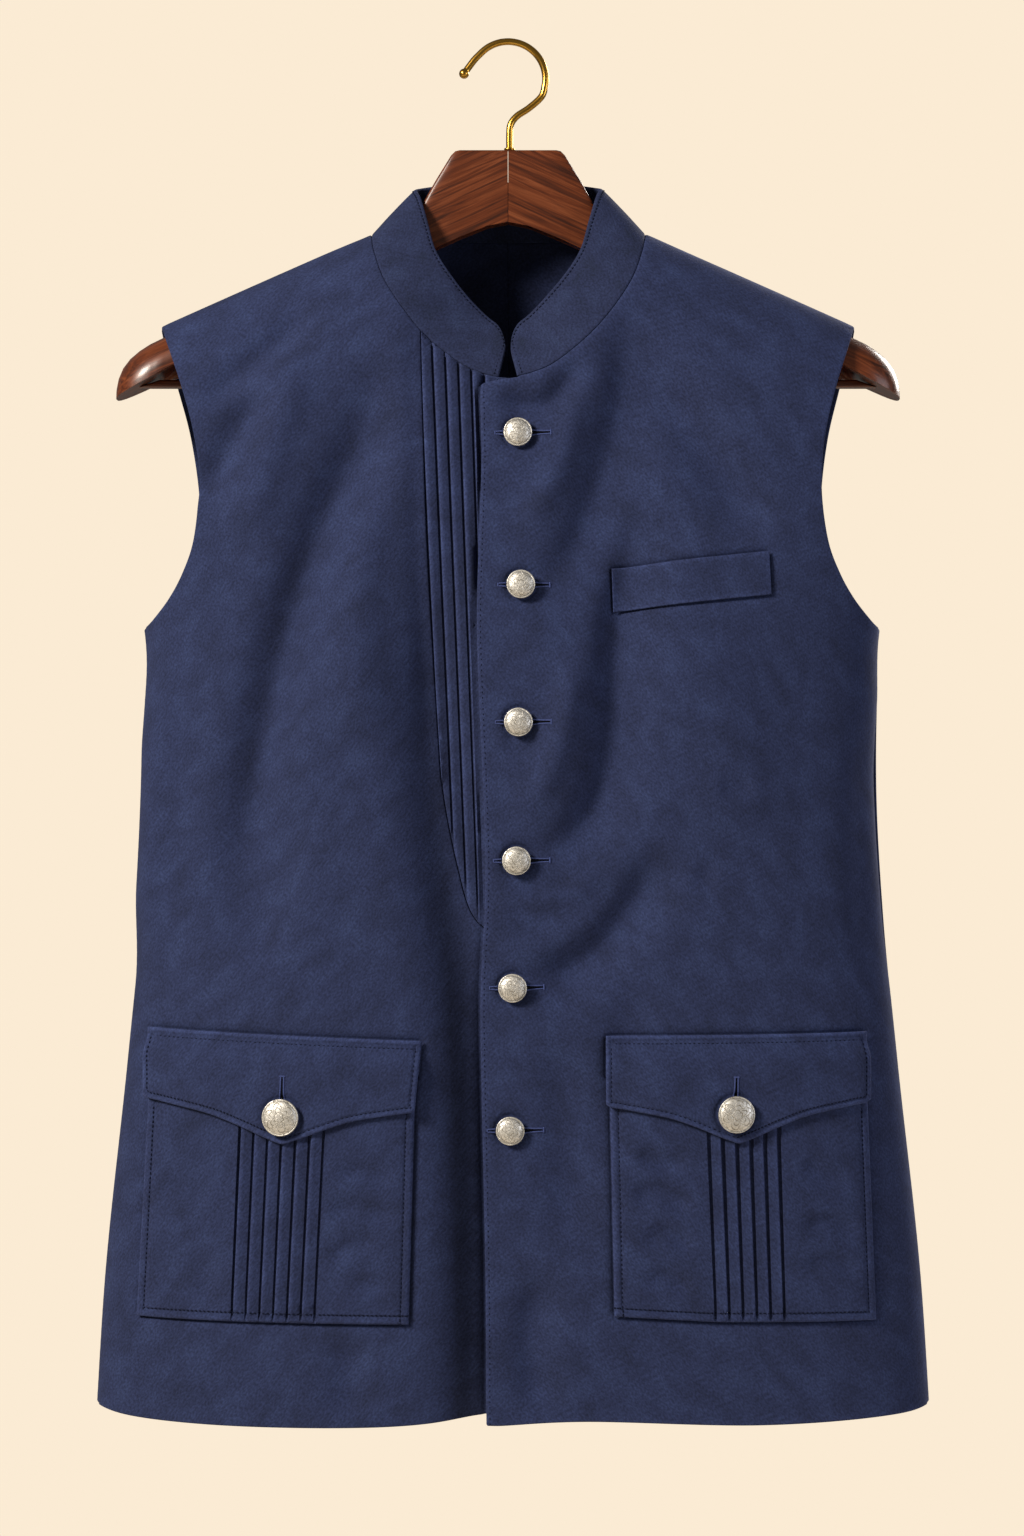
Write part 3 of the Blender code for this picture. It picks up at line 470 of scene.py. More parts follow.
def offset_line(line: Array, distance: float, closed: bool = False) -> Array:
    """A line moved sideways by a distance, to the left of its direction."""
    if closed:
        before, after = np.roll(line, 1, axis=0), np.roll(line, -1, axis=0)
    else:
        before, after = np.vstack([line[:1], line[:-1]]), np.vstack([line[1:], line[-1:]])
    into, out = unit(line - before), unit(after - line)
    if not closed:
        into[0], out[-1] = out[0], into[-1]
    turn = unit(into + out)
    half = np.clip(np.einsum("ij,ij->i", turn, out), 0.5, 1)
    return line + pairs(-turn[:, 1], turn[:, 0]) * (distance / half)[:, None]


def distance_to(points: Array, line: Array, closed: bool = False) -> Array:
    """How far each point is from a line."""
    start = line if closed else line[:-1]
    run = (np.roll(line, -1, axis=0) if closed else line[1:]) - start
    size = np.maximum(np.einsum("ij,ij->i", run, run), 1e-12)
    found = []
    for part in np.array_split(points, max(1, len(points) // 1500)):
        gap = part[:, None, :] - start[None, :, :]
        share = np.clip(np.einsum("pij,ij->pi", gap, run) / size, 0, 1)
        gap -= share[..., None] * run[None, :, :]
        found.append(np.sqrt(np.min(np.einsum("pij,pij->pi", gap, gap), axis=1)))
    return np.concatenate(found)


def inside(points: Array, outline: Array) -> Array:
    """Whether each point is inside a closed outline."""
    x0, y0 = outline[:, 0], outline[:, 1]
    x1, y1 = np.roll(x0, -1), np.roll(y0, -1)
    rise = np.where(np.abs(y1 - y0) < 1e-12, 1e-12, y1 - y0)
    found = []
    for part in np.array_split(points, max(1, len(points) // 1500)):
        x, y = part[:, :1], part[:, 1:]
        crossed = (y0 > y) != (y1 > y)
        hit = crossed & (x < (x1 - x0) * (y - y0) / rise + x0)
        found.append(np.sum(hit, axis=1) % 2 == 1)
    return np.concatenate(found)


def outline_area(outline: Array) -> float:
    """Signed area inside a closed outline."""
    x, y = outline[:, 0], outline[:, 1]
    return float(np.sum(x * np.roll(y, -1) - np.roll(x, -1) * y) / 2)


# ---- the body form


@dataclass(frozen=True)
class BodyForm:
    """The hollow shape that the hanging jacket keeps, and its flat pattern."""

    section_power: float = 3.2
    shoulder_top: float = -83.8
    shoulder_slope: float = 0.45
    shoulder_blend: float = 25.0
    flat_half: float = 220.0
    aspect: float = 0.27
    roll_aspect: float = 0.65

    def __post_init__(self) -> None:
        """Work out the tables that turn shares into lengths along the curves."""
        object.__setattr__(self, "across", self._arc(self.aspect, self.section_power))
        object.__setattr__(self, "down", self._arc(self.roll_aspect, 2.0))

    @staticmethod
    def _arc(height: float, power: float) -> tuple[Array, Array]:
        """Share of x against arc length along (x, height * sqrt(1 - x**power))."""
        t = np.linspace(0.0, 1.0, 800)
        x = 1 - (1 - t) ** 2
        y = height * np.sqrt(np.maximum(1 - x**power, 0))
        return x, np.concatenate([[0.0], np.cumsum(np.hypot(np.diff(x), np.diff(y)))])

    @property
    def across_end(self) -> float:
        """The flat pattern's reach from the middle to a side seam."""
        return float(self.across[1][-1] * self.flat_half)

    def centre(self, z: Array) -> Array:
        """x of the body's middle."""
        return straight_table(CENTRE_ROWS, "shift", z)

    def half_width(self, z: Array) -> Array:
        """Distance from the middle to the side seam."""
        return smooth_table(BODY_ROWS, "half_width", z)

    def ridge(self, x: Array) -> Array:
        """Height of the shoulder line."""
        reach = np.sqrt(np.square(x) + self.shoulder_blend**2) - self.shoulder_blend
        return self.shoulder_top - self.shoulder_slope * reach

    def flatten(self, places: Array) -> Array:
        """Front-view places to the flat pattern, where distances are even."""
        x, z = places[:, 0], places[:, 1]
        offset = x - self.centre(z)
        q = np.clip(np.abs(offset) / self.half_width(z), 0, 1)
        across = np.sign(offset) * np.interp(q, *self.across) * self.flat_half
        roll = straight_table(ROLL_ROWS, "radius", np.abs(x))
        drop = np.maximum(self.ridge(x) - z, 0)
        xs, lengths = self.down
        turned = lengths[-1] - np.interp(1 - np.clip(drop / roll, 0, 1), xs, lengths)
        return pairs(across, turned * roll + np.maximum(drop - roll, 0))

    def unflatten(self, flat: Array) -> Array:
        """Flat pattern places back to the front view, by steps that settle quickly."""
        across, down = flat[:, 0], flat[:, 1]
        q = np.interp(np.abs(across) / self.flat_half, self.across[1], self.across[0])
        z = self.shoulder_top - down
        xs, lengths = self.down
        for _ in range(30):
            x = self.centre(z) + np.sign(across) * q * self.half_width(z)
            roll = straight_table(ROLL_ROWS, "radius", np.abs(x))
            turned = np.minimum(down / roll, lengths[-1])
            share = 1 - np.interp(lengths[-1] - turned, lengths, xs)
            z = self.ridge(x) - share * roll - np.maximum(down - lengths[-1] * roll, 0)
        return pairs(x, z)

    def point(self, flat: Array, face: Face) -> Array:
        """Points on the form in space."""
        x, z = self.unflatten(flat).T
        q = np.interp(np.abs(flat[:, 0]) / self.flat_half, self.across[1], self.across[0])
        roll = straight_table(ROLL_ROWS, "radius", np.abs(x))
        share = np.clip((self.ridge(x) - z) / roll, 0, 1)
        column = "front_depth" if face is Face.FRONT else "back_depth"
        depth = smooth_table(BODY_ROWS, column, z)
        depth = depth * np.sqrt(np.maximum(1 - q**self.section_power, 0))
        depth = depth * np.sqrt(np.maximum(1 - np.square(1 - share), 0))
        return np.stack([x, face.value * depth, z], axis=1)

    def frame(self, flat: Array, face: Face) -> tuple[Array, Array]:
        """Points on the form and their outward normals.

        Args:
            flat: Places in the flat pattern.
            face: The half of the form.

        Returns:
            The points and the unit normals, a row for each place.
        """
        step, reach = 0.6, self.across_end

        def at(across: Array, down: Array) -> Array:
            """The point there, held inside the pattern."""
            held = pairs(np.clip(across, -reach, reach), np.maximum(down, 0))
            return self.point(held, face)

        across, down = np.clip(flat[:, 0], -reach, reach), np.maximum(flat[:, 1], 0)
        sideways = at(across + step, down) - at(across - step, down)
        downwards = at(across, down + step) - at(across, down - step)
        return at(across, down), unit(np.cross(sideways, downwards) * face.value)


FORM = BodyForm()


@dataclass(frozen=True)
class Drape:
    """The creases of one stretch of cloth."""

    creases: Sequence[Crease]
    scale: float = 1.0
    end_fade: float = 0.3

    def sink(self, x: Array, z: Array) -> Array:
        """How far the cloth sinks below the form at each place."""
        total = np.zeros(len(x))
        places = pairs(x, z)
        for crease in self.creases:
            line = line_through(crease.route, 12.0)
            close = near(places, line, 2.6 * max(crease.left, crease.right))
            if not close.any():
                continue
            start, run = line[:-1], np.diff(line, axis=0)
            size = np.einsum("ij,ij->i", run, run)
            gap = places[close][:, None, :] - start[None]
            share = np.clip(np.einsum("pij,ij->pi", gap, run) / size, 0, 1)
            gap -= share[..., None] * run[None]
            best = np.argmin(np.einsum("pij,pij->pi", gap, gap), axis=1)
            rows = np.arange(len(best))
            away = gap[rows, best]
            along = (best + share[rows, best]) / len(run)
            side = run[best, 0] * away[:, 1] - run[best, 1] * away[:, 0]
            width = np.where(side > 0, crease.right, crease.left)
            fade = ease(np.minimum(along, 1 - along) / self.end_fade)
            depth = np.exp(-np.square(np.linalg.norm(away, axis=1) / width))
            total[close] += self.scale * crease.depth * fade * depth
        return total


FRONT_DRAPE = Drape(FRONT_CREASES, scale=4.3)
UNDER_LAP_DRAPE = Drape(UNDER_LAP_CREASES, scale=5.2, end_fade=0.25)
BACK_DRAPE = Drape(BACK_CREASES, scale=3.6)


# ---- materials


def linear(code: str) -> tuple[float, float, float, float]:
    """An sRGB hex colour as linear values for a socket."""
    out = []
    for i in (0, 2, 4):
        value = int(code[i : i + 2], 16) / 255
        out.append(value / 12.92 if value <= 0.04045 else ((value + 0.055) / 1.055) ** 2.4)
    return (*out, 1.0)


def per_mm(size: float) -> float:
    """Texture scale whose pattern repeats about every so many millimetres."""
    return 1.0 / (size * MM)


@dataclass(frozen=True)
class Nodes:
    """Adds nodes to one tree and hands back their outputs."""

    tree: bpy.types.NodeTree

    def add(self, kind: str, inputs: dict[str | int, object], output: str | int = 0,
            **settings: object) -> Socket:
        """Add a node with its settings and links.

        Args:
            kind: The node's type name, less the word ShaderNode.
            inputs: For each input socket, a value or the output that feeds it.
            output: The output wanted.
            **settings: The node's own settings.

        Returns:
            The output wanted.
        """
        node = self.tree.nodes.new(f"ShaderNode{kind}")
        for name, value in settings.items():
            setattr(node, name, value)
        for socket, value in inputs.items():
            if isinstance(value, Socket):
                self.tree.links.new(value, node.inputs[socket])
            else:
                node.inputs[socket].default_value = value
        return node.outputs[output]

    def place(self, uv_map: str | None = None) -> Socket:
        """Object coordinates, or a UV map's."""
        if uv_map:
            return self.add("UVMap", {}, "UV", uv_map=uv_map)
        return self.add("TexCoord", {}, "Object")

    def sum(self, operation: str, *values: object, **settings: object) -> Socket:
        """One operation on values or outputs."""
        return self.add("Math", dict(enumerate(values)), operation=operation, **settings)

    def noise(self, place: Socket, scale: float, dimensions: str = "3D", output: str = "Fac",
              **values: float) -> Socket:
        """Soft random lumps."""
        return self.add("TexNoise", {"Vector": place, "Scale": scale, **values}, output,
                        noise_dimensions=dimensions)

    def span(self, value: Socket, low: float, high: float, start: float = 0.0,
             end: float = 1.0) -> Socket:
        """A value that runs from start to end, brought to run from low to high."""
        return self.add("MapRange", {
            "Value": value, "From Min": start, "From Max": end, "To Min": low, "To Max": high,
        }, "Result")

    def ramp(self, share: Socket, low: Stop, middle: Stop, high: Stop) -> Socket:
        """A colour for each share, through three stops."""
        out = self.add("ValToRGB", {"Fac": share}, "Color")
        stops = out.node.color_ramp.elements
        for stop, (place, colour) in zip(stops, (low, high)):
            stop.position, stop.color = place, linear(colour)
        stops.new(middle[0]).color = linear(middle[1])
        return out

    def mix(self, share: Socket, low: str, high: str) -> Socket:
        """A colour between two."""
        return self.add("Mix", {"Factor": share, 6: linear(low), 7: linear(high)}, 2,
                        data_type="RGBA")

    def times(self, colour: object, shade: Socket) -> Socket:
        """A colour made darker or lighter by a shade."""
        return self.add("VectorMath", {0: colour, 1: shade}, operation="MULTIPLY")

    def bump(self, height: Socket, strength: float, depth: float, under: Socket | None = None,
             invert: bool = False) -> Socket:
        """Relief of a depth in millimetres, over another relief if there is one."""
        below = {} if under is None else {"Normal": under}
        return self.add("Bump", {
            "Height": height, "Strength": strength, "Distance": depth * MM, **below,
        }, "Normal", invert=invert)

    def shade(self, **outputs: Socket) -> None:
        """Link outputs to the shader's sockets."""
        shader = self.tree.nodes["Principled BSDF"]
        for socket, output in outputs.items():
            self.tree.links.new(output, shader.inputs[socket.replace("_", " ")])


def new_material(name: str, **values: object) -> tuple[Material, Nodes]:
    """A material and its nodes, with constants on the shader's own sockets."""
    made = bpy.data.materials.new(name)
    made.use_nodes = True
    shader = made.node_tree.nodes["Principled BSDF"]
    for socket, value in values.items():
        shader.inputs[socket.replace("_", " ")].default_value = value
    return made, Nodes(made.node_tree)


@dataclass(frozen=True)
class BrushedCotton:
    """Brushed cotton twill, piece-dyed navy: a short nap that clouds where it was stroked."""

    dark: str = "202742"
    middle: str = "252D4C"
    light: str = "2B3557"
    cloud_mm: float = 17.0
    nap_mm: float = 6.0
    twill_mm: float = 1.15      # real ribs are 0.5 mm apart, too fine to show
    fibre_mm: float = 1.2
    highlight_amount: float = 0.55        # how much paler the painted highlight makes the cloth along edges and fold edges

    def make(self) -> Material:
        """Build the material; it reads the piece's UV map, which follows the cloth."""
        made, nodes = new_material(
            "brushed cotton twill", Roughness=0.92, Sheen_Weight=0.12, Sheen_Roughness=0.45,
            Sheen_Tint=linear("8C97C8"), Specular_IOR_Level=0.18,
        )
        uv = nodes.place("weave")
        cloud = nodes.noise(uv, per_mm(self.cloud_mm), "2D", Detail=4.0, Roughness=0.55,
                            Distortion=0.25)
        nap = nodes.noise(uv, per_mm(self.nap_mm), "2D", Detail=5.0, Roughness=0.65)
        slanted = nodes.add("Mapping", {
            "Vector": uv, "Rotation": (0.0, 0.0, math.radians(38)), "Scale": (1.0, 0.9, 1.0),
        })
        fibre = nodes.noise(slanted, per_mm(self.fibre_mm), "2D", Detail=3.0)
        twill = nodes.add("TexWave", {
            "Vector": uv, "Scale": per_mm(self.twill_mm) / 20.0 * math.pi, "Distortion": 1.4,
            "Detail": 2.0, "Detail Scale": 3.0,
        }, "Fac", wave_type="BANDS", bands_direction="DIAGONAL")
        dye = nodes.ramp(nodes.sum("ADD", cloud, nodes.sum("MULTIPLY", nap, 0.3)),
                         (0.36, self.dark), (0.64, self.middle), (0.96, self.light))
        grain = nodes.span(fibre, 0.7, 1.3, 0.3, 0.7)
        ribs = nodes.span(twill, 0.96, 1.04)
        # painted highlight: a per-vertex attribute makes edges and fold edges paler, standing in
        # for the light that they catch
        edge_highlight = nodes.add("Attribute", {}, "Fac", attribute_name="edge_highlight")
        highlighted = nodes.sum("MULTIPLY_ADD", edge_highlight, self.highlight_amount, 1.0)
        weave = nodes.sum("MULTIPLY", nodes.sum("MULTIPLY", grain, ribs), highlighted)
        relief = nodes.sum("MULTIPLY_ADD", fibre, twill, 0.5)
        nodes.shade(
            Base_Color=nodes.times(dye, weave),
            Normal=nodes.bump(nap, 0.5, 0.5, nodes.bump(relief, 0.35, 0.12)),
        )
        return made


@dataclass(frozen=True)
class SewingThread:
    """Spun polyester thread: a faint lustre along each stitch."""

    name: str = "spun polyester thread"
    colour: str = "12172A"
    ply_mm: float = 0.5

    def make(self) -> Material:
        """Build the material."""
        made, nodes = new_material(
            self.name, Base_Color=linear(self.colour), Roughness=0.85, Specular_IOR_Level=0.08,
        )
        ply = nodes.noise(nodes.place(), per_mm(self.ply_mm), Detail=2.0)
        nodes.shade(Base_Color=nodes.times(linear(self.colour)[:3], nodes.span(ply, 0.7, 1.15)))
        return made


@dataclass(frozen=True)
class Walnut:
    """Lacquered walnut: dark streaks along the grain under a satin film."""

    slope: float
    dark: str = "34170C"
    middle: str = "57270F"
    light: str = "733C1F"
    streak_mm: float = 2.8
    pore_mm: float = 0.8
    stretch: float = 0.045

    def make(self) -> Material:
        """Build the material with its grain along the arm's slope."""
        made, nodes = new_material(
            "lacquered walnut", Roughness=0.34, Coat_Weight=0.2, Coat_Roughness=0.18,
            Specular_IOR_Level=0.35,
        )
        turned = nodes.add("Mapping", {
            "Vector": nodes.place(), "Rotation": (0.0, self.slope, 0.0),
        })
        grain = nodes.add("Mapping", {"Vector": turned, "Scale": (self.stretch, 0.8, 1.0)})
        streak = nodes.noise(grain, per_mm(self.streak_mm), Detail=5.0, Roughness=0.6,
                             Distortion=1.1)
        pore = nodes.noise(grain, per_mm(self.pore_mm), Detail=3.0, Roughness=0.7)
        wood = nodes.ramp(streak, (0.34, self.dark), (0.5, self.middle), (0.68, self.light))
        pits = nodes.span(pore, 0.55, 1.0, 0.28, 0.46)
        nodes.shade(
            Base_Color=nodes.times(wood, pits), Roughness=nodes.span(streak, 0.26, 0.42),
            Normal=nodes.bump(pits, 0.25, 0.08),
        )
        return made


@dataclass(frozen=True)
class PolishedBrass:
    """Drawn brass wire, polished and a little handled: warm, with faint dull patches."""

    colour: str = "D2A548"
    dull: str = "A97A2C"
    patch_mm: float = 6.0

    def make(self) -> Material:
        """Build the material."""
        made, nodes = new_material("polished brass", Metallic=1.0, Roughness=0.24)
        patch = nodes.noise(nodes.place(), per_mm(self.patch_mm), Detail=4.0)
        nodes.shade(Base_Color=nodes.mix(patch, self.dull, self.colour),
                    Roughness=nodes.span(patch, 0.3, 0.18))
        return made


@dataclass(frozen=True)
class AntiqueSilver:
    """Silver plate, hand engraved and darkened in the cuts, then rubbed bright on top."""

    bright: str = "E4E2DC"
    dull: str = "7A7467"
    petals: int = 6
    centre: float = 0.08        # the middle of the flower, off the dome's own
    rings: tuple[tuple[float, float], ...] = ((0.22, 0.06), (0.42, 0.38), (0.30, 0.24))

    def make(self) -> Material:
        """Build the material; it reads the button's own UV map, centred on the dome."""
        made, nodes = new_material("engraved antique silver", Metallic=1.0, Roughness=0.5)
        uv = nodes.place("dome")
        bent = nodes.add("VectorMath", {
            0: nodes.noise(uv, 2.2, output="Color"), 1: (0.16, 0.16, 0.0), 2: uv,
        }, operation="MULTIPLY_ADD")
        x, y = (nodes.sum("ADD", nodes.add("SeparateXYZ", {0: bent}, i), -self.centre)
                for i in (0, 1))
        reach = nodes.sum("POWER", nodes.sum("ADD", nodes.sum("POWER", x, 2.0),
                                             nodes.sum("POWER", y, 2.0)), 0.5)
        turn = nodes.sum("MULTIPLY", nodes.sum("ARCTAN2", y, x), self.petals / 2)
        petal = nodes.sum("ABSOLUTE", nodes.sum("SINE", turn))
        veins = nodes.add("TexVoronoi", {"Vector": bent, "Scale": 4.5}, "Distance",
                          feature="DISTANCE_TO_EDGE")
        line = nodes.span(veins, 0.8, 0.0, 0.01, 0.05)
        for inner, swing in self.rings:
            edge = nodes.sum("MULTIPLY_ADD", petal, swing, inner)
            gap = nodes.sum("ABSOLUTE", nodes.sum("SUBTRACT", reach, edge))
            line = nodes.sum("MAXIMUM", line, nodes.span(gap, 1.0, 0.0, 0.012, 0.04))
        tarnish = nodes.noise(uv, 1.6, Detail=6.0, Roughness=0.65)
        age = nodes.span(tarnish, 0.0, 0.45, 0.35, 0.7)
        cover = nodes.sum("MULTIPLY_ADD", line, 0.62, age, use_clamp=True)
        nodes.shade(
            Base_Color=nodes.mix(cover, self.bright, self.dull),
            Roughness=nodes.span(cover, 0.46, 0.7),
            Normal=nodes.bump(line, 0.7, 0.12, invert=True),
        )
        return made


# ---- meshes


def finish_mesh(
    name: str, points: Array, faces: Sequence[Sequence[int]], material: Material,
    uvs: Array | None = None, sharp: float | None = None, weld: float = 0.0,
) -> Piece:
    """A named object from points in millimetres, its faces pointing out.

    Args:
        name: The object's name.
        points: A row for each vertex.
        faces: Vertex numbers of each face, wound the same way all round.
        material: Its material.
        uvs: A UV place for each vertex, in millimetres, for the map named weave.
        sharp: The angle in degrees past which an edge stays crisp.
        weld: Points closer than this many millimetres are merged.

    Returns:
        The object, linked to the scene.
    """
    mesh = bpy.data.meshes.new(name)
    mesh.from_pydata((np.asarray(points) * MM).tolist(), [], [list(f) for f in faces])
    if uvs is not None:
        layer = mesh.uv_layers.new(name="weave")
        corners = np.zeros(len(mesh.loops), int)
        mesh.loops.foreach_get("vertex_index", corners)
        layer.data.foreach_set("uv", (np.asarray(uvs)[corners] * MM).ravel())
    body = bmesh.new()
    body.from_mesh(mesh)
    if weld:
        bmesh.ops.remove_doubles(body, verts=body.verts, dist=weld * MM)
        bmesh.ops.dissolve_degenerate(body, edges=body.edges, dist=weld * MM / 4)
    if body.calc_volume(signed=True) < 0:
        bmesh.ops.reverse_faces(body, faces=body.faces)
    body.to_mesh(mesh)
    body.free()
    mesh.materials.append(material)
    mesh.shade_smooth()
    if sharp is not None:
        mesh.set_sharp_from_angle(angle=math.radians(sharp))
    made = bpy.data.objects.new(name, mesh)
    bpy.context.scene.collection.objects.link(made)
    return made


def only(piece: Piece) -> None:
    """Select this piece alone, so that the next operator acts on nothing else."""
    deselect()
    piece.select_set(True)
    bpy.context.view_layer.objects.active = piece


def settle(piece: Piece) -> None:
    """Apply a piece's place, turn and size to its mesh."""
    only(piece)
    bpy.ops.object.transform_apply(location=True, rotation=True, scale=True)


def enrol(piece: Piece, node: str | None = None) -> None:
    """Give a finished piece its place in the frame, and log it.

    Args:
        piece: The piece.
        node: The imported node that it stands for, if it stands for one.
    """
    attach(piece, BODY)
    if node:
        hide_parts(node)
    LOG.info("%s: %d faces", piece.name, len(piece.data.polygons))


def soften(piece: Piece, width: float, segments: int, smooth: float,
           limit: float = 30.0) -> None:
    """Round a piece's edges and smooth its faces.

    Args:
        piece: The active piece.
        width: How wide the rounding is.
        segments: Steps across it.
        smooth: The angle in degrees past which an edge stays crisp.
        limit: The angle past which an edge is rounded.
    """
    bevel = piece.modifiers.new("soft edges", "BEVEL")
    bevel.width = width * MM
    bevel.segments = segments
    bevel.limit_method = "ANGLE"
    bevel.angle_limit = math.radians(limit)
    bpy.ops.object.modifier_apply(modifier=bevel.name)
    bpy.ops.object.shade_smooth_by_angle(angle=math.radians(smooth))


def inset(*steps: tuple[float, float]) -> None:
    """Inset the chosen faces again and again, each time by a width and a rise."""
    for width, rise in steps:
        bpy.ops.mesh.inset(thickness=width * MM, depth=rise * MM)


def deselect() -> None:
    """Deselect everything."""
    bpy.ops.object.select_all(action="DESELECT")


def dress(piece: Piece, material: Material) -> None:
    """Give a piece one material."""
    piece.data.materials.clear()
    piece.data.materials.append(material)


def tube_faces(rings: int, around: int, first: int = 0, capped: bool = True) -> Faces:
    """Faces of a tube whose vertices run ring after ring.

    Args:
        rings: How many rings it has.
        around: Vertices in each.
        first: The number of its first vertex.
        capped: Whether its ends are closed.

    Returns:
        Vertex numbers of each face.
    """
    faces = []
    for ring in range(rings - 1):
        for k in range(around):
            a, b = first + ring * around + k, first + ring * around + (k + 1) % around
            faces.append([a, b, b + around, a + around])
    if capped:
        last = first + (rings - 1) * around
        faces.append([first + k for k in reversed(range(around))])
        faces.append([last + k for k in range(around)])
    return faces


def merged(parts: Sequence[tuple[Array, Faces]]) -> tuple[Array, Faces]:
    """Several meshes as one: all their vertices and all their faces."""
    faces, count = [], 0
    for points, sides in parts:
        faces += [[count + i for i in face] for face in sides]
        count += len(points)
    return np.concatenate([points for points, _ in parts]), faces


ROUNDED_AT = (0.1, 0.38, 1.0)   # shares of the rounded edge with a ring of vertices
CLEAR_OF_BORDER = 0.12          # followed lines stop this far short of the outline
SEAM_OVERLAP = 0.06             # of a front's side edge and a back's, as sewn
HIGHLIGHT_REACH = 1.7               # how far in from an edge the painted highlight reaches


@dataclass
class ClothCut:
    """A cloth shell cut out of the body form, with rounded edges.

    outer and inner give the two faces' distance from the form at front-view places.
    """

    name: str
    outline: Array
    face: Face
    outer: Lift
    inner: Lift
    spacing: float
    lines: Sequence[Array] = ()     # what the mesh follows inside the outline
    insets: tuple[float, ...] = ()  # distances from the edge with a ring of vertices
    edge: float = 0.8               # how far in the wall's edge is rounded
    edge_highlight: float = 0.0               # strength of the painted highlight along the edge
    pleats: "Pleats | None" = None

    def flat_outline(self) -> Array:
        """The outline in the flat pattern, evenly spaced, corners kept."""
        flat = FORM.flatten(self.outline)
        return flat if outline_area(flat) > 0 else flat[::-1].copy()

    def _spread(self, border: Array) -> tuple[Array, list[tuple[int, int]]]:
        """All places of the mesh in the flat pattern, and the edges that it keeps."""
        rings = [border]
        rounding = (self.edge * share for share in ROUNDED_AT)
        for distance in (*rounding, *self.insets):
            ring = offset_line(border, distance, closed=True)
            keep = distance_to(ring, border, closed=True) > distance * 0.8
            rings.append(ring[keep & inside(ring, border)])
        followed: list[Array] = []
        edges: list[tuple[int, int]] = []
        count = sum(len(ring) for ring in rings)
        for line in self.lines:
            flat = FORM.flatten(line)
            keep = distance_to(flat, border, closed=True) > CLEAR_OF_BORDER
            keep &= inside(flat, border)
            index = np.cumsum(keep) - 1 + count
            edges += [(int(index[i]), int(index[i + 1])) for i in range(len(flat) - 1)
                      if keep[i] and keep[i + 1]]
            followed.append(flat[keep])
            count += int(keep.sum())
        low, high = border.min(axis=0), border.max(axis=0)
        rows = np.arange(low[1], high[1], self.spacing * math.sqrt(0.75))
        lattice = []
        for number, b in enumerate(rows):
            a = np.arange(low[0] + (number % 2) * self.spacing / 2, high[0], self.spacing)
            lattice.append(pairs(a, np.full(len(a), b)))
        grid = np.concatenate(lattice)
        grid = grid[inside(grid, border)]
        margin = max((self.edge, *self.insets)) + self.spacing * 0.45
        grid = grid[distance_to(grid, border, closed=True) > margin]
        if followed and len(grid):
            spots = np.concatenate([line for line in followed if len(line)])
            clear = [np.min(np.linalg.norm(part[:, None] - spots[None], axis=2), axis=1)
                     for part in np.array_split(grid, max(1, len(grid) // 500))]
            grid = grid[np.concatenate(clear) > self.spacing * 0.55]
        return np.concatenate([*rings, *followed, grid]), edges

    def build(self, material: Material, sharp: float | None = None) -> Piece:
        """Make the shell.

        Args:
            material: Its cloth.
            sharp: The angle past which an edge stays crisp, if any does.

        Returns:
            The finished object.
        """
        border = self.flat_outline()
        places, edges = self._spread(border)
        ring = [list(range(len(border)))]
        made = delaunay_2d_cdt([Vector(p) for p in places], edges, ring, 1, 1e-6)
        flat = np.array([tuple(v) for v in made[0]])
        triangles = np.array(made[2], int)
        points, normals = FORM.frame(flat, self.face)
        x, z = FORM.unflatten(pairs(flat[:, 0], np.maximum(flat[:, 1], 0))).T
        away = distance_to(flat, border, closed=True)
        share = np.sqrt(1 - np.square(1 - np.clip(away / self.edge, 0, 1)))
        outer, inner = self.outer(x, z), self.inner(x, z)
        middle, half = (outer + inner) / 2, (outer - inner) / 2 * share
        walls = [points + normals * (middle + side * half)[:, None] for side in (1, -1)]
        way = self.face.value
        for wall in walls:
            wall[:, 1] = way * np.maximum(way * wall[:, 1], -SEAM_OVERLAP / 2)
        count = len(flat)
        second = np.where(away < 1e-3, np.arange(count), np.arange(count) + count)
        faces = [*triangles.tolist(), *second[triangles][:, ::-1].tolist()]
        uvs = np.concatenate([flat, flat])
        piece = finish_mesh(self.name, np.concatenate(walls), faces, material, uvs, sharp)
        # painted highlight: a paler band along the edge and the fold edges, standing in for the
        # light that they catch
        highlight_amount = self.edge_highlight * np.exp(-np.square(away / HIGHLIGHT_REACH))
        if self.pleats:
            highlight_amount = np.maximum(highlight_amount, self.pleats.edge_highlight(x, z))
        layer = piece.data.attributes.new("edge_highlight", "FLOAT", "POINT")
        layer.data.foreach_set("value", np.concatenate([highlight_amount, highlight_amount]).astype(np.float32))
        drop_loose(piece)
        return piece

    def declare(self, piece: Piece, node: str, rests_on: Sequence[str]) -> None:
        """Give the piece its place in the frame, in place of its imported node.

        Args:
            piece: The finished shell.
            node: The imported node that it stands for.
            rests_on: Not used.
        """
        border = self.flat_outline()
        enrol(piece, node)


def drop_loose(piece: Piece) -> None:
    """Delete vertices that no face uses."""
    body = bmesh.new()
    body.from_mesh(piece.data)
    loose = [v for v in body.verts if not v.link_faces]
    bmesh.ops.delete(body, geom=loose, context="VERTS")
    body.to_mesh(piece.data)
    body.free()


def on_cloth(places: Array, lift: Lift, face: Face = Face.FRONT) -> tuple[Array, Array]:
    """Points and normals at front-view places, a lift above the form."""
    points, normals = FORM.frame(FORM.flatten(places), face)
    return points + normals * lift(places[:, 0], places[:, 1])[:, None], normals


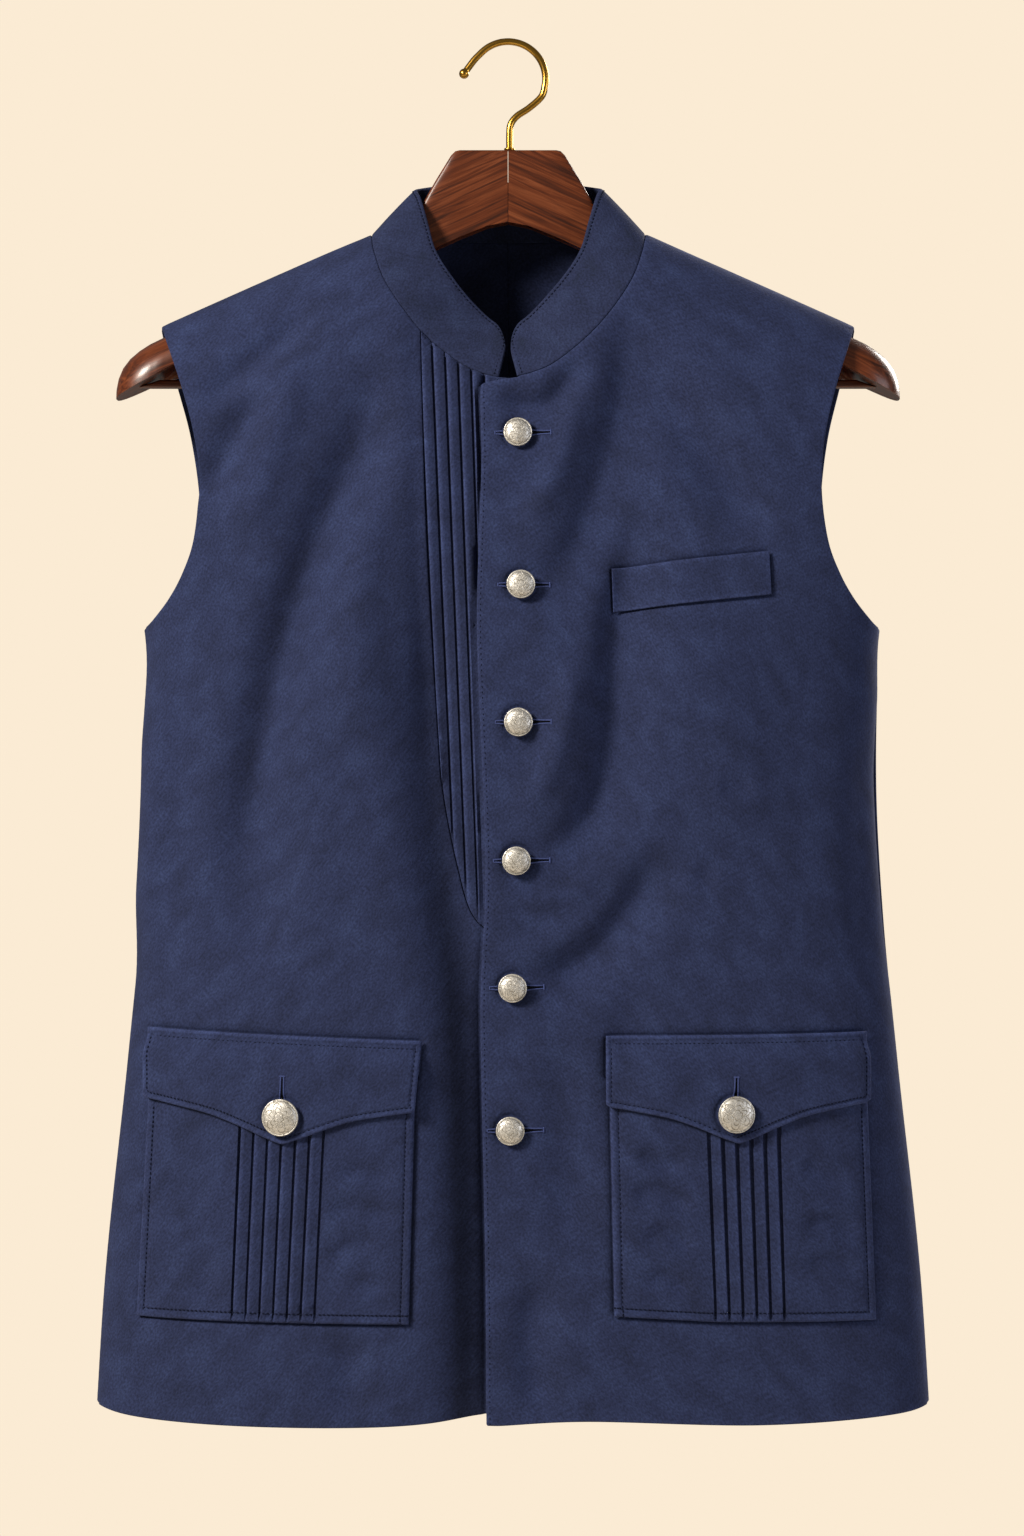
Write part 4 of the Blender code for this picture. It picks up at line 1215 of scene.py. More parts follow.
@dataclass(frozen=True)
class Stitching:
    """Rows of short machine stitches, joined in one mesh."""

    pitch: float = 2.6
    length: float = 1.7
    radius: float = 0.42
    sides: int = 6
    sunk: float = 0.08
    # for each ring of a stitch: its share along, its size and how far it dips
    stations: tuple[tuple[float, float, float], ...] = (
        (-0.5, 0.35, -0.28), (-0.3, 1.0, 0.0), (0.3, 1.0, 0.0), (0.5, 0.35, -0.28),
    )

    def mesh(self, points: Array, normals: Array) -> tuple[Array, Faces]:
        """Closed stitches at points in space.

        Args:
            points: The line's points, one to a stitch.
            normals: The cloth's normals there.

        Returns:
            Vertices and faces.
        """
        runs = unit(np.gradient(points, axis=0))
        asides = unit(np.cross(normals, runs))
        angles = np.linspace(0, 2 * math.pi, self.sides, endpoint=False)
        vertices: list[Array] = []
        faces: Faces = []
        for point, run, aside, up in zip(points, runs, asides, normals):
            faces += tube_faces(len(self.stations), self.sides, len(vertices))
            for share, size, dip in self.stations:
                centre = point + run * share * self.length + up * (dip - self.sunk)
                for angle in angles:
                    offset = math.cos(angle) * aside + math.sin(angle) * up
                    vertices.append(centre + offset * self.radius * size)
        return np.array(vertices), faces

    def sew(self, name: str, routes: Sequence[tuple[Array, Array]], material: Material) -> None:
        """One piece from several rows of stitches, each given as points and normals."""
        sewn = merged([self.mesh(points, normals) for points, normals in routes])
        enrol(finish_mesh(name, *sewn, material))


def ribbed_cord(points: Array, normals: Array, radius: float, rib: float) -> tuple[Array, Faces]:
    """A row of purl stitches: a closed cord whose girth swells at each turn of thread.

    Args:
        points: The cord's centre line, four points or more to a rib.
        normals: The cloth's normals there.
        radius: Its largest radius.
        rib: The distance from one turn to the next.

    Returns:
        Vertices and faces.
    """
    sides = 8
    runs = unit(np.gradient(points, axis=0))
    along = np.concatenate([[0], np.cumsum(np.linalg.norm(np.diff(points, axis=0), axis=1))])
    ends = np.minimum(along, along[-1] - along)
    girth = radius * (0.86 + 0.14 * np.cos(2 * math.pi * along / rib))
    girth = girth * np.sqrt(np.clip(1 - np.square(1 - np.clip(ends / radius, 0.08, 1)), 0, 1))
    vertices = []
    for point, aside, up, size in zip(points, unit(np.cross(normals, runs)), normals, girth):
        for angle in np.linspace(0, 2 * math.pi, sides, endpoint=False):
            vertices.append(point + (math.cos(angle) * aside + math.sin(angle) * up) * size)
    return np.array(vertices), tube_faces(len(points), sides)


# ---- tucks and pleats


@dataclass(frozen=True)
class Pleats:
    """Pressed folds side by side: each folded edge stands over the gap before it."""

    count: int
    top_z: float
    top_x: float            # first fold edge at top_z
    top_pitch: float
    low_z: float
    low_x: float
    low_pitch: float
    open_side: Side         # the way the folded edges face
    top_gap: float
    low_gap: float
    rise: float             # folded edge above the plain cloth
    drop: float             # gap below it
    level: float            # plain cloth beside the pleats
    low: float = 0.1        # a strip's far side
    ramp: float = 0.25

    def _read(self, z: Array, top: float, low: float) -> Array:
        """A size that changes evenly from top_z to low_z."""
        return top + (low - top) * (z - self.top_z) / (self.low_z - self.top_z)

    def edge(self, k: int, z: Array) -> Array:
        """x of the fold edge number k."""
        way = -self.open_side.value
        first = self._read(z, self.top_x, self.low_x)
        return first + way * k * self._read(z, self.top_pitch, self.low_pitch)

    def height(self, x: Array, z: Array) -> Array:
        """Height of the cloth above its plain level."""
        way = -self.open_side.value
        pitch = self._read(z, self.top_pitch, self.low_pitch)
        gap = np.maximum(self._read(z, self.top_gap, self.low_gap), 0.7)
        s = (x - self.edge(0, z)) * way
        strip = np.clip(np.floor(s / pitch), -1, self.count)
        r = s - strip * pitch
        body = self.rise + (self.low - self.rise) * ease((r - 0.8) / (pitch - gap - 1.2))
        nose = self.rise * (0.4 + 0.6 * np.sqrt(np.clip(1 - np.square(1 - r / 0.8), 0, 1)))
        out = np.where(r < 0.8, nose, body)
        out = np.where((strip < 0) | (strip >= self.count), self.level, out)
        before = pitch - r
        start = np.where(strip < 0, self.level, self.low)
        fall = np.clip((gap + self.ramp - before) / self.ramp, 0, 1)
        out = np.where((before < gap + self.ramp) & (strip < self.count),
                       start + (-self.drop - start) * fall, out)
        nearly = np.clip(1 - before / self.ramp, 0, 1)
        end = np.where(strip == self.count - 1, self.level, self.rise * 0.4)
        climb = -self.drop + (end + self.drop) * nearly
        return np.where((before < self.ramp) & (strip < self.count), climb, out)

    def edge_highlight(self, x: Array, z: Array) -> Array:
        """How strong the painted highlight is along the folded edges, 0 to 1."""
        pitch = self._read(z, self.top_pitch, self.low_pitch)
        s = (x - self.edge(0, z)) * -self.open_side.value
        strip = np.floor(s / pitch)
        here = (strip >= 0) & (strip < self.count)
        return np.where(here, np.exp(-np.square((s - strip * pitch) / 1.2)), 0.0)

    def lines(self, top: float, low: float, step: float = 5.0) -> list[Array]:
        """The lines where a pleat's section turns, from height top to height low."""
        z = np.linspace(top, low, max(2, round(abs(top - low) / step) + 1))
        way = -self.open_side.value
        gap = np.maximum(self._read(z, self.top_gap, self.low_gap), 0.7)
        out = []
        for k in range(self.count + 1):
            asides = [-gap - self.ramp, -gap, -gap * 0.5, -self.ramp + 0 * z, 0 * z]
            if k < self.count:
                asides += [0.2 + 0 * z, 0.45 + 0 * z, 0.8 + 0 * z, 2.6 + 0 * z]
            out += [pairs(self.edge(k, z) + way * aside, z) for aside in asides]
        return out


TUCKS = Pleats(6, -180.0, -49.8, 7.3, -409.0, -39.8, 6.7, Side.LEFT,
               top_gap=1.3, low_gap=1.2, rise=2.1, drop=1.7, level=0.3)
POCKET_PLEATS = {
    Side.LEFT: Pleats(6, -627.0, -150.1, 7.9, -730.0, -154.8, 7.78, Side.LEFT,
                      top_gap=1.5, low_gap=1.2, rise=1.7, drop=1.3, level=0.7),
    Side.RIGHT: Pleats(5, -627.0, 151.2, 7.92, -730.0, 154.9, 7.76, Side.RIGHT,
                       top_gap=2.5, low_gap=1.5, rise=1.3, drop=1.3, level=0.7, low=0.4),
}


# ---- the jacket's panels


@dataclass(frozen=True)
class Dent:
    """The furrow that something sewn on presses into the cloth along its edge."""

    line: Array
    depth: float
    width: float
    closed: bool = True

    def sink(self, x: Array, z: Array) -> Array:
        """How far the cloth sinks at each place."""
        places = pairs(x, z)
        close = near(places, self.line, 3 * self.width)
        total = np.zeros(len(x))
        if close.any():
            away = distance_to(places[close], self.line, self.closed)
            total[close] = self.depth * np.exp(-np.square(away / self.width))
        return total

    def lines(self) -> list[Array]:
        """Lines along the furrow, so that the mesh follows it."""
        line = np.vstack([self.line, self.line[:1]]) if self.closed else self.line
        return [line, *(offset_line(line, self.width * by) for by in (-1.6, -0.7, 0.7, 1.6))]


def circle(centre: Point, radius: float, count: int = 40) -> Array:
    """A closed circle seen from the front."""
    angles = np.linspace(0, 2 * math.pi, count, endpoint=False)
    return pairs(centre.x + radius * np.cos(angles), centre.z + radius * np.sin(angles))


def all_round(corners: Sequence[Point], step: float = 2.5) -> Array:
    """A closed straight-sided outline, evenly spaced."""
    return joined(line_through([*corners, corners[0]], step, smooth=False))


@dataclass(frozen=True)
class Panels:
    """Fronts, tucked insert and back halves."""

    right_dents: tuple[Dent, ...]
    left_dents: tuple[Dent, ...]

    wall: float = 1.6
    lap_rise: float = 1.9
    lap_sink: float = 2.6
    lap_fade: float = 110.0
    outline_step: float = 2.2
    front_spacing: float = 3.4
    back_spacing: float = 5.0
    pick_in: float = 2.0        # hand stitches, in from the lap's edge
    tuck_thick: float = 0.4     # how much thicker the tucked insert is
    past_middle: float = 0.06   # each back half, where the two are sewn together
    curve_top: float = -430.0   # below this the insert's seam curves in, under the tucks
    curve_x: float = -37.5
    lap_top: float = -200.5     # below this the lap hides the tucks, from lap_x on
    lap_x: float = -15.7

    def lap(self, x: Array) -> Array:
        """How strongly the overlap lifts or sinks a front: 1 at the middle, 0 outside."""
        return ease(1 - np.abs(x) / self.lap_fade)

    def right(self, x: Array, z: Array) -> Array:
        """Outer face of the right front above the form."""
        return self.lap_rise * self.lap(x) - FRONT_DRAPE.sink(x, z)

    def left(self, x: Array, z: Array) -> Array:
        """Outer face of the left front above the form."""
        sink = FRONT_DRAPE.sink(x, z) + UNDER_LAP_DRAPE.sink(x, z)
        return -self.lap_sink * self.lap(x) - sink

    def right_face(self, x: Array, z: Array) -> Array:
        """The right front with the furrows round what is sewn on it."""
        return self.right(x, z) - sum(dent.sink(x, z) for dent in self.right_dents)

    def left_face(self, x: Array, z: Array) -> Array:
        """The left front with its furrows, the deepest beside the lap's edge."""
        return self.left(x, z) - sum(dent.sink(x, z) for dent in self.left_dents)

    def back(self, x: Array, z: Array) -> Array:
        """Outer face of the back above the form."""
        return -BACK_DRAPE.sink(x, z)

    def tucked(self, x: Array, z: Array) -> Array:
        """Outer face of the tucked insert above the form."""
        curved = sorted((p for p in TUCK_SEAM if p.z < self.curve_top), key=lambda p: p.x)
        floor = np.interp(x, [p.x for p in curved], [p.z for p in curved])
        fade = np.where(x > self.curve_x, np.clip((z - floor) / 12.0, 0.2, 1), 1.0)
        beside_lap = np.clip((self.lap_x - x) / 1.6, 0, 1)
        fade = fade * np.where(z > self.lap_top, 1.0, beside_lap)
        return self.left_face(x, z) + TUCKS.height(x, z) * fade

    @staticmethod
    def shoulder(side: int, step: float) -> Array:
        """The shoulder seam from the neck out."""
        x = np.linspace(NECK_HALF, TIP_HALF, round((TIP_HALF - NECK_HALF) / step) + 1)
        return pairs(side * x, FORM.ridge(x))

    @staticmethod
    def front_neck(side: int, step: float) -> Array:
        """The front neckline from the shoulder to its end near the middle."""
        start = (side * NECK_HALF, float(FORM.ridge(np.array(NECK_HALF))))
        return line_through([start, *((side * p.x, p.z) for p in FRONT_NECK)], step)

    @staticmethod
    def back_neck(count: int) -> Array:
        """The back neckline from the left shoulder to the right."""
        start = float(FORM.ridge(np.array(NECK_HALF)))
        x = NECK_HALF * np.sin(np.linspace(-math.pi / 2, math.pi / 2, count))
        rise = (start - BACK_NECK_HEIGHT) * np.power(np.abs(x) / NECK_HALF, 4)
        return pairs(x, BACK_NECK_HEIGHT + rise)

    @staticmethod
    def side_seam(side: int, step: float) -> Array:
        """The side seam from the underarm to the hem."""
        z = np.linspace(UNDERARM, SIDE_HEM, round((UNDERARM - SIDE_HEM) / step) + 1)
        return pairs(FORM.centre(z) + side * FORM.half_width(z), z)

    def outer_edge(self, side: int, armhole: Sequence[Point], step: float) -> Array:
        """A panel's edge from the neck along the shoulder, the armhole and the side."""
        tip = (side * TIP_HALF, float(FORM.ridge(np.array(TIP_HALF))))
        middle = [(side * p.x + float(FORM.centre(np.array(p.z))), p.z) for p in armhole]
        seam = self.side_seam(side, step)
        return np.concatenate([
            self.shoulder(side, step), line_through([tip, *middle, seam[0]], step), seam,
        ])

    def right_outline(self) -> Array:
        """The right front's outline."""
        step = self.outline_step
        hem = self.side_seam(1, step)[-1]
        corner = line_through([LAP_EDGE[-1], *LAP_CORNER, (5.2, -198.0)], 1.0)
        return joined(
            self.outer_edge(1, FRONT_ARMHOLE, step),
            line_through([hem, *RIGHT_HEM, LAP_EDGE[0]], step),
            line_through(LAP_EDGE, step),
            corner,
            self.front_neck(1, step)[::-1][1:],
        )

    def left_outline(self) -> Array:
        """The left front's outline, cut away for the tucked insert."""
        step = self.outline_step
        hem = self.side_seam(-1, step)[-1]
        neck = self.front_neck(-1, step)
        return joined(
            self.outer_edge(-1, FRONT_ARMHOLE, step),
            line_through([hem, *LEFT_HEM, UNDER_HEM], step),
            line_through([UNDER_HEM, TUCK_SEAM[-1]], 4.0),
            line_through(TUCK_SEAM, step)[::-1],
            neck[neck[:, 0] < TUCK_SEAM[0].x - 1][::-1],
        )

    def tuck_outline(self, gap: float = 0.35) -> Array:
        """The tucked insert's outline, a seam's gap inside the left front's cut-away."""
        step = self.outline_step
        seam = offset_line(line_through(TUCK_SEAM, step), gap)
        neck = self.front_neck(-1, step)
        neck = neck[neck[:, 0] > TUCK_SEAM[0].x + 1.5]
        return joined(
            seam,
            line_through([seam[-1], UNDER_TOP], 4.0),
            line_through([UNDER_TOP, neck[-1]], step),
            neck[::-1],
        )

    def back_outline(self, side: int) -> Array:
        """The outline of a back half, with its centre-back seam."""
        step = 2.6
        neck = self.back_neck(65)
        half = neck[neck[:, 0] * side > 1]
        if side < 0:
            half = half[::-1]
        aside = -side * self.past_middle
        z = np.linspace(SIDE_HEM, BACK_NECK_HEIGHT, 260)
        middle = pairs(FORM.centre(z) + aside, z)
        hem = self.side_seam(side, step)[-1]
        return joined(
            middle[-1:],
            half,
            self.outer_edge(side, BACK_ARMHOLE, step),
            line_through([hem, middle[0]], step),
            middle,
        )

    def build(self, cloth: Material, thread: Material) -> None:
        """Make the panels and the pick stitches along the front edge."""
        arms = ("hanger_arm_left", "hanger_arm_right")
        right_lines = [line for dent in self.right_dents for line in dent.lines()]
        left_lines = [line for dent in self.left_dents for line in dent.lines()]
        cuts = (
            (ClothCut("cloth_front_right", self.right_outline(), Face.FRONT, self.right_face,
                      shifted(self.right_face, -self.wall), self.front_spacing,
                      lines=right_lines, edge=1.2, edge_highlight=0.4),
             "front_right", arms[1:], None),
            (ClothCut("cloth_front_left", self.left_outline(), Face.FRONT, self.left_face,
                      shifted(self.left_face, -self.wall), self.front_spacing,
                      lines=left_lines),
             "front_left", arms[:1], None),
            (ClothCut("cloth_tuck_panel", self.tuck_outline(), Face.FRONT, self.tucked,
                      shifted(self.left_face, -self.wall - self.tuck_thick),
                      self.front_spacing,
                      lines=TUCKS.lines(-165.0, -522.0, 3.5), edge=0.6, pleats=TUCKS),
             "tuck_panel", ("cloth_front_left",), 48.0),
        )
        for cut, node, rests, sharp in cuts:
            cut.declare(cut.build(cloth, sharp), node, rests)
        for side, name in ((-1, "left"), (1, "right")):
            cut = ClothCut(f"cloth_back_{name}", self.back_outline(side), Face.BACK, self.back,
                           shifted(self.back, -self.wall), self.back_spacing)
            cut.declare(cut.build(cloth), f"back_{name}", [f"hanger_arm_{name}"])
        self.pick_stitches(thread)

    def pick_stitches(self, thread: Material) -> None:
        """Small hand stitches just inside the lap's edge."""
        route = offset_line(line_through(LAP_EDGE, 4.0), -self.pick_in)
        stitching = Stitching(pitch=3.1, length=1.3, radius=0.32, sunk=0.1)
        sewn = on_cloth(evenly(route, stitching.pitch), self.right)
        stitching.sew("stitches_front_edge", [sewn], thread)


def make_panels() -> Panels:
    """The panels, with a furrow round each pocket and button and beside the lap's edge."""
    shallow, deep = (1.3, 1.1), (1.7, 1.5)      # depth and width of a furrow
    right, left = (
        [Dent(all_round(edge), *shallow) for edge in sewn_on]
        for sewn_on in ((RIGHT_PATCH, FLAP_SIDES[Side.RIGHT], WELT),
                        (LEFT_PATCH, FLAP_SIDES[Side.LEFT]))
    )
    right += [Dent(circle(spot, 8.3), *deep) for spot in FRONT_BUTTONS]
    lap = line_through([*LAP_EDGE, *LAP_CORNER[:2]], 3.0)
    left.append(Dent(offset_line(lap, 0.8), *deep, closed=False))
    return Panels(tuple(right), tuple(left))


PANELS = make_panels()


@dataclass(frozen=True)
class Collar:
    """The band round the neck, from the left front end over the back to the right."""

    height: float = 37.0
    end_height: float = 15.0
    end_radius: float = 22.0
    wall: float = 2.4
    stitch_in: float = 2.3
    stitch_out: float = 0.3
    from_top: tuple[float, ...] = (
        0.0, 0.1, 0.45, 1.2, 1.8, 2.3, 2.8, 3.6, 5.0, 7.0, 9.5, 12.5, 16.0, 20.0, 24.0, 28.0,
        31.5, 34.2, 35.6, 36.4, 36.85, 37.0,
    )

    def base(self) -> tuple[Array, Array]:
        """The neck seam in space and the panels' normals along it."""
        left, right = PANELS.front_neck(-1, 1.6)[::-1], PANELS.front_neck(1, 1.6)
        back = PANELS.back_neck(110)[1:-1]
        parts = (
            on_cloth(left, PANELS.left),
            on_cloth(back, PANELS.back, Face.BACK),
            on_cloth(right, PANELS.right),
        )
        line = np.concatenate([p[0] for p in parts])
        normal = np.concatenate([p[1] for p in parts])
        both = evenly(np.hstack([line, normal]), 1.5)
        return self._soften(both[:, :3]), both[:, 3:]

    @staticmethod
    def _soften(line: Array) -> Array:
        """Even out the small kinks where the seam crosses from one panel to the next."""
        line = line.copy()
        for _ in range(6):
            line[1:-1] = (line[:-2] + 2 * line[1:-1] + line[2:]) / 4
        return line

    def stations(self) -> tuple[Array, Array, Array, Array, Array]:
        """Places, outward normals, lean, heights and end distances along the band."""
        line, panel_normal = self.base()
        run = np.linalg.norm(np.diff(line, axis=0), axis=1)
        along = np.concatenate([[0], np.cumsum(run)])
        total = along[-1]
        extra = np.array([0.1, 0.45, 1.2])
        at = np.unique(np.concatenate([along, extra, total - extra]))
        place = np.stack([np.interp(at, along, line[:, i]) for i in range(3)], axis=1)
        normal = np.stack([np.interp(at, along, panel_normal[:, i]) for i in range(3)], axis=1)
        share = np.minimum(at, total - at) / (total / 2)
        side = 1 - 2 * ease((at / total - 0.47) / 0.06)
        inward, back, up = (smooth_table(COLLAR_LEAN, column, share)
                            for column in ("inward", "back", "up"))
        lean = unit(np.stack([side * inward, back, up], axis=1))
        ends = np.minimum(at, total - at)
        corner = np.clip(1 - ends / self.end_radius, 0, 1)
        height = self.height - (self.height - self.end_height) * (1 - np.sqrt(1 - corner**2))
        outward = unit(np.cross(lean, np.gradient(place, axis=0)))
        turn = np.stack([normal, outward, lean], axis=1)
        return place, turn, height, ends, at

    def build(self, cloth: Material, thread: Material) -> None:
        """Make the band and its top stitching."""
        place, turn, height, ends, at = self.stations()
        normal, outward, lean = turn[:, 0], turn[:, 1], turn[:, 2]
        rows = np.array(self.from_top[::-1])
        half = self.wall / 2
        outer, inner, uv_v = [], [], []
        end_share = np.sqrt(1 - np.square(1 - np.clip(ends / half, 0, 1)))
        for d in rows:
            depth = d * height / self.height
            up = (1 - d / self.height)
            away = normal * (1 - up) ** 3 + outward * (1 - (1 - up) ** 3)
            away = unit(away)
            rim = min(d, self.height - d)
            share = math.sqrt(1 - (1 - min(rim / half, 1)) ** 2)
            dimple = 0.22 * math.exp(-(((d - self.stitch_in) / 0.6) ** 2))
            bow = 0.5 * math.sin(math.pi * d / self.height)
            middle = place + lean * (height - depth)[:, None] - away * half
            outer.append(middle + away * ((half * share - dimple * share + bow) * end_share
                                          )[:, None])
            inner.append(middle - away * ((half * share - bow * 0.6) * end_share)[:, None])
            uv_v.append(height - depth)
        rings = np.stack([*outer, *inner[::-1]], axis=1)
        count = rings.shape[1]
        points = rings.reshape(-1, 3)
        across = np.stack([*uv_v, *uv_v[::-1]], axis=1)
        uvs = pairs(np.repeat(at, count), across.ravel())
        faces = tube_faces(len(at), count, capped=False)
        piece = finish_mesh("cloth_collar", points, faces, cloth, uvs, weld=0.004)
        drop_loose(piece)
        enrol(piece, "collar")
        self.topstitch(place, outward, lean, height, at, thread)

    def topstitch(self, place: Array, outward: Array, lean: Array, height: Array, at: Array,
                  thread: Material) -> None:
        """Stitch along the top edge and down both front ends."""
        inset = self.stitch_in
        total = at[-1]
        middle = (at > inset) & (at < total - inset)
        line = (place + lean * (height - inset)[:, None] + outward * self.stitch_out)[middle]
        ends = []
        for first, aside in ((0, 1.0), (len(at) - 1, -1.0)):
            start = int(np.argmin(np.abs(at - (inset if aside > 0 else total - inset))))
            drops = np.arange(inset + 1.0, height[start] - 1.5, 1.0)
            top = place[start] + lean[start] * height[start] + outward[start] * self.stitch_out
            ends.append([top - lean[start] * drop for drop in drops])
        route = np.array([*ends[0][::-1], *line, *ends[1]])
        normals = np.array([*[outward[middle][0]] * len(ends[0]), *outward[middle],
                            *[outward[middle][-1]] * len(ends[1])])
        stitching = Stitching(pitch=2.5, length=1.6, radius=0.34, sunk=0.1)
        both = evenly(np.hstack([route, normals]), stitching.pitch)
        stitching.sew("stitches_collar", [(both[:, :3], unit(both[:, 3:]))], thread)


# ---- pockets


@dataclass(frozen=True)
class PatchPocket:
    """A pleated patch pocket with its pointed flap and topstitching."""

    side: Side
    corners: tuple[Point, ...]
    flap_left: Point
    flap_right: Point
    flap_in: float          # how much further in its lower right corner is
    button: Point
    hole_top: float
    wrinkled: float
    gap: float = 0.4
    wall: float = 2.2
    flap_wall: float = 2.3
    flap_rise: float = 3.9
    stitch_in: float = 4.5
    flap_stitch_in: float = 3.0
    top_stitch_down: float = 4.6
    button_dent: float = 10.6
    hidden_below: float = 44.0  # the flap hides the patch's stitches to this depth

    @property
    def word(self) -> str:
        """left or right."""
        return self.side.name.lower()

    def seam(self, x: Array) -> Array:
        """Height of the flap's upper edge."""
        run = (x - self.flap_left.x) / (self.flap_right.x - self.flap_left.x)
        return self.flap_left.z + (self.flap_right.z - self.flap_left.z) * run

    def base(self, x: Array, z: Array) -> Array:
        """Outer face of the front that the pocket lies on."""
        return PANELS.left(x, z) if self.side is Side.LEFT else PANELS.right(x, z)

    def patch_outer(self, x: Array, z: Array) -> Array:
        """Outer face of the patch."""
        wrinkle = Drape(POCKET_CREASES[self.side], self.wrinkled).sink(x, z)
        edge = line_through([*self.corners], 4.0, smooth=False)
        away = distance_to(pairs(x, z), edge)
        seam = 0.75 * np.exp(-np.square((away - self.stitch_in) / 0.6))
        puff = 0.5 * ease(away / 2.0) + 0.4 * ease((away - 4.5) / 8.0) - seam
        pleats = POCKET_PLEATS[self.side]
        folds = pleats.height(x, z) - pleats.level
        top = self.base(x, z) + self.gap + self.wall + puff - wrinkle
        floor = self.base(x, z) + self.gap + 0.3
        pressed = 0.3 + 0.7 * ease((away - 0.6) / 4.4)
        pressed = pressed * ease((self.flap_left.z - 38.0 - z) / 8.0)
        return np.maximum(top + folds * pressed, floor)

    def patch_inner(self, x: Array, z: Array) -> Array:
        """Inner face of the patch."""
        return self.base(x, z) + self.gap

    def flap_outline(self, step: float) -> Array:
        """The flap's outline, its point at the middle."""
        middle = Point((self.flap_left.x + self.flap_right.x) / 2,
                       (self.flap_left.z + self.flap_right.z) / 2)
        half = (self.flap_right.x - self.flap_left.x) / 2
        slant = (self.flap_right.z - self.flap_left.z) / 2
        edge = []
        for way in (-1, 1):
            rows = FLAP_EDGE if way > 0 else tuple(reversed(FLAP_EDGE[1:]))
            for row in rows:
                share = way * row.share
                inward = self.flap_in * max(share, 0) ** 2
                edge.append((middle.x + share * half - inward,
                             middle.z + slant * share - row.drop))
        top = line_through([edge[-1], self.flap_right, self.flap_left, edge[0]], step,
                           smooth=False)
        return joined(top, line_through(edge, step))

    def flap_inner(self, x: Array, z: Array) -> Array:
        """Inner face of the flap: it leaves the front below its seam and rises over the patch."""
        drop = self.seam(x) - z
        rise = self.flap_rise * ease((drop - 4.0) / 12.0) + 0.5 * ease((drop - 30.0) / 24.0)
        return self.base(x, z) + self.gap + rise

    def flap_outer(self, x: Array, z: Array) -> Array:
        """Outer face of the flap, pressed down along its topstitching."""
        places = pairs(x, z)
        away = distance_to(places, self.flap_outline(3.0), closed=True)
        seam = 0.7 * np.exp(-np.square((away - self.flap_stitch_in) / 0.6))
        top = self.seam(x)
        upper = 0.7 * np.exp(-np.square((top - z - self.top_stitch_down) / 0.6))
        wave = 0.5 * np.sin((x - self.button.x) / 11.0) * np.exp(-np.square((z - top + 26) / 16))
        puff = 0.35 * ease(away / 7.0) + wave * ease(away / 10.0)
        from_button = np.hypot(x - self.button.x, z - self.button.z)
        ring = 1.5 * np.exp(-np.square((from_button - self.button_dent) / 1.5))
        return self.flap_inner(x, z) + self.flap_wall + puff - seam - upper - ring

    def build(self, cloth: Material, thread: Material,
              twist: Material, dark: Material) -> None:
        """Make the patch, the flap, the stitching and the buttonhole."""
        front = f"cloth_front_{self.word}"
        outline = all_round(self.corners, 2.0)
        patch = ClothCut(
            f"cloth_pocket_{self.word}", outline, Face.FRONT, self.patch_outer, self.patch_inner,
            2.6, lines=POCKET_PLEATS[self.side].lines(-595.5, -731.0, 4.0),
            insets=(1.6, 2.6, 3.6, 4.05, 4.5, 4.95, 5.5), edge=1.0,
            edge_highlight=0.8, pleats=POCKET_PLEATS[self.side],
        )
        patch.declare(patch.build(cloth, 52.0), f"pocket_{self.word}", [front])
        flap = ClothCut(
            f"cloth_flap_{self.word}", self.flap_outline(2.0), Face.FRONT, self.flap_outer,
            self.flap_inner, 2.6,
            lines=Dent(circle(self.button, self.button_dent), 1.5, 1.5).lines(),
            insets=(1.8, 2.5, 3.0, 3.5, 4.15, 4.6, 5.05), edge=1.15, edge_highlight=1.0,
        )
        flap.declare(flap.build(cloth), f"flap_{self.word}", [f"cloth_pocket_{self.word}"])
        self.stitch(thread)
        hole = Buttonhole(Point(self.button.x + 0.6, self.hole_top), self.button, 0.0,
                          lift=self.flap_outer)
        hole.build(f"buttonhole_pocket_{self.word}", twist, dark)

    def stitch(self, thread: Material) -> None:
        """Topstitching of the patch's three sewn sides and all round the flap."""
        stitching = Stitching()
        seam = offset_line(FORM.flatten(line_through(self.corners, 2.0, smooth=False)),
                           -self.stitch_in)
        low = self.flap_left.z - self.hidden_below
        route = FORM.unflatten(evenly(seam, stitching.pitch))
        route = route[route[:, 1] < low]
        rows = [on_cloth(route, self.patch_outer)]
        border = FORM.flatten(self.flap_outline(2.0))
        if outline_area(border) < 0:
            border = border[::-1]
        ring = offset_line(border, self.flap_stitch_in, closed=True)
        ring = FORM.unflatten(evenly(ring, stitching.pitch, closed=True))
        ring = np.roll(ring, -int(np.argmax(ring[:, 1])), axis=0)
        drop = self.seam(ring[:, 0]) - ring[:, 1]
        sides = ring[drop > 5.5]
        rows.append(on_cloth(sides, self.flap_outer))
        aside, down = self.flap_stitch_in, self.top_stitch_down
        upper = line_through([
            (self.flap_left.x + aside, self.flap_left.z - down),
            (self.flap_right.x - aside, self.flap_right.z - down),
        ], stitching.pitch)
        rows.append(on_cloth(upper, self.flap_outer))
        stitching.sew(f"stitches_pocket_{self.word}", rows, thread)


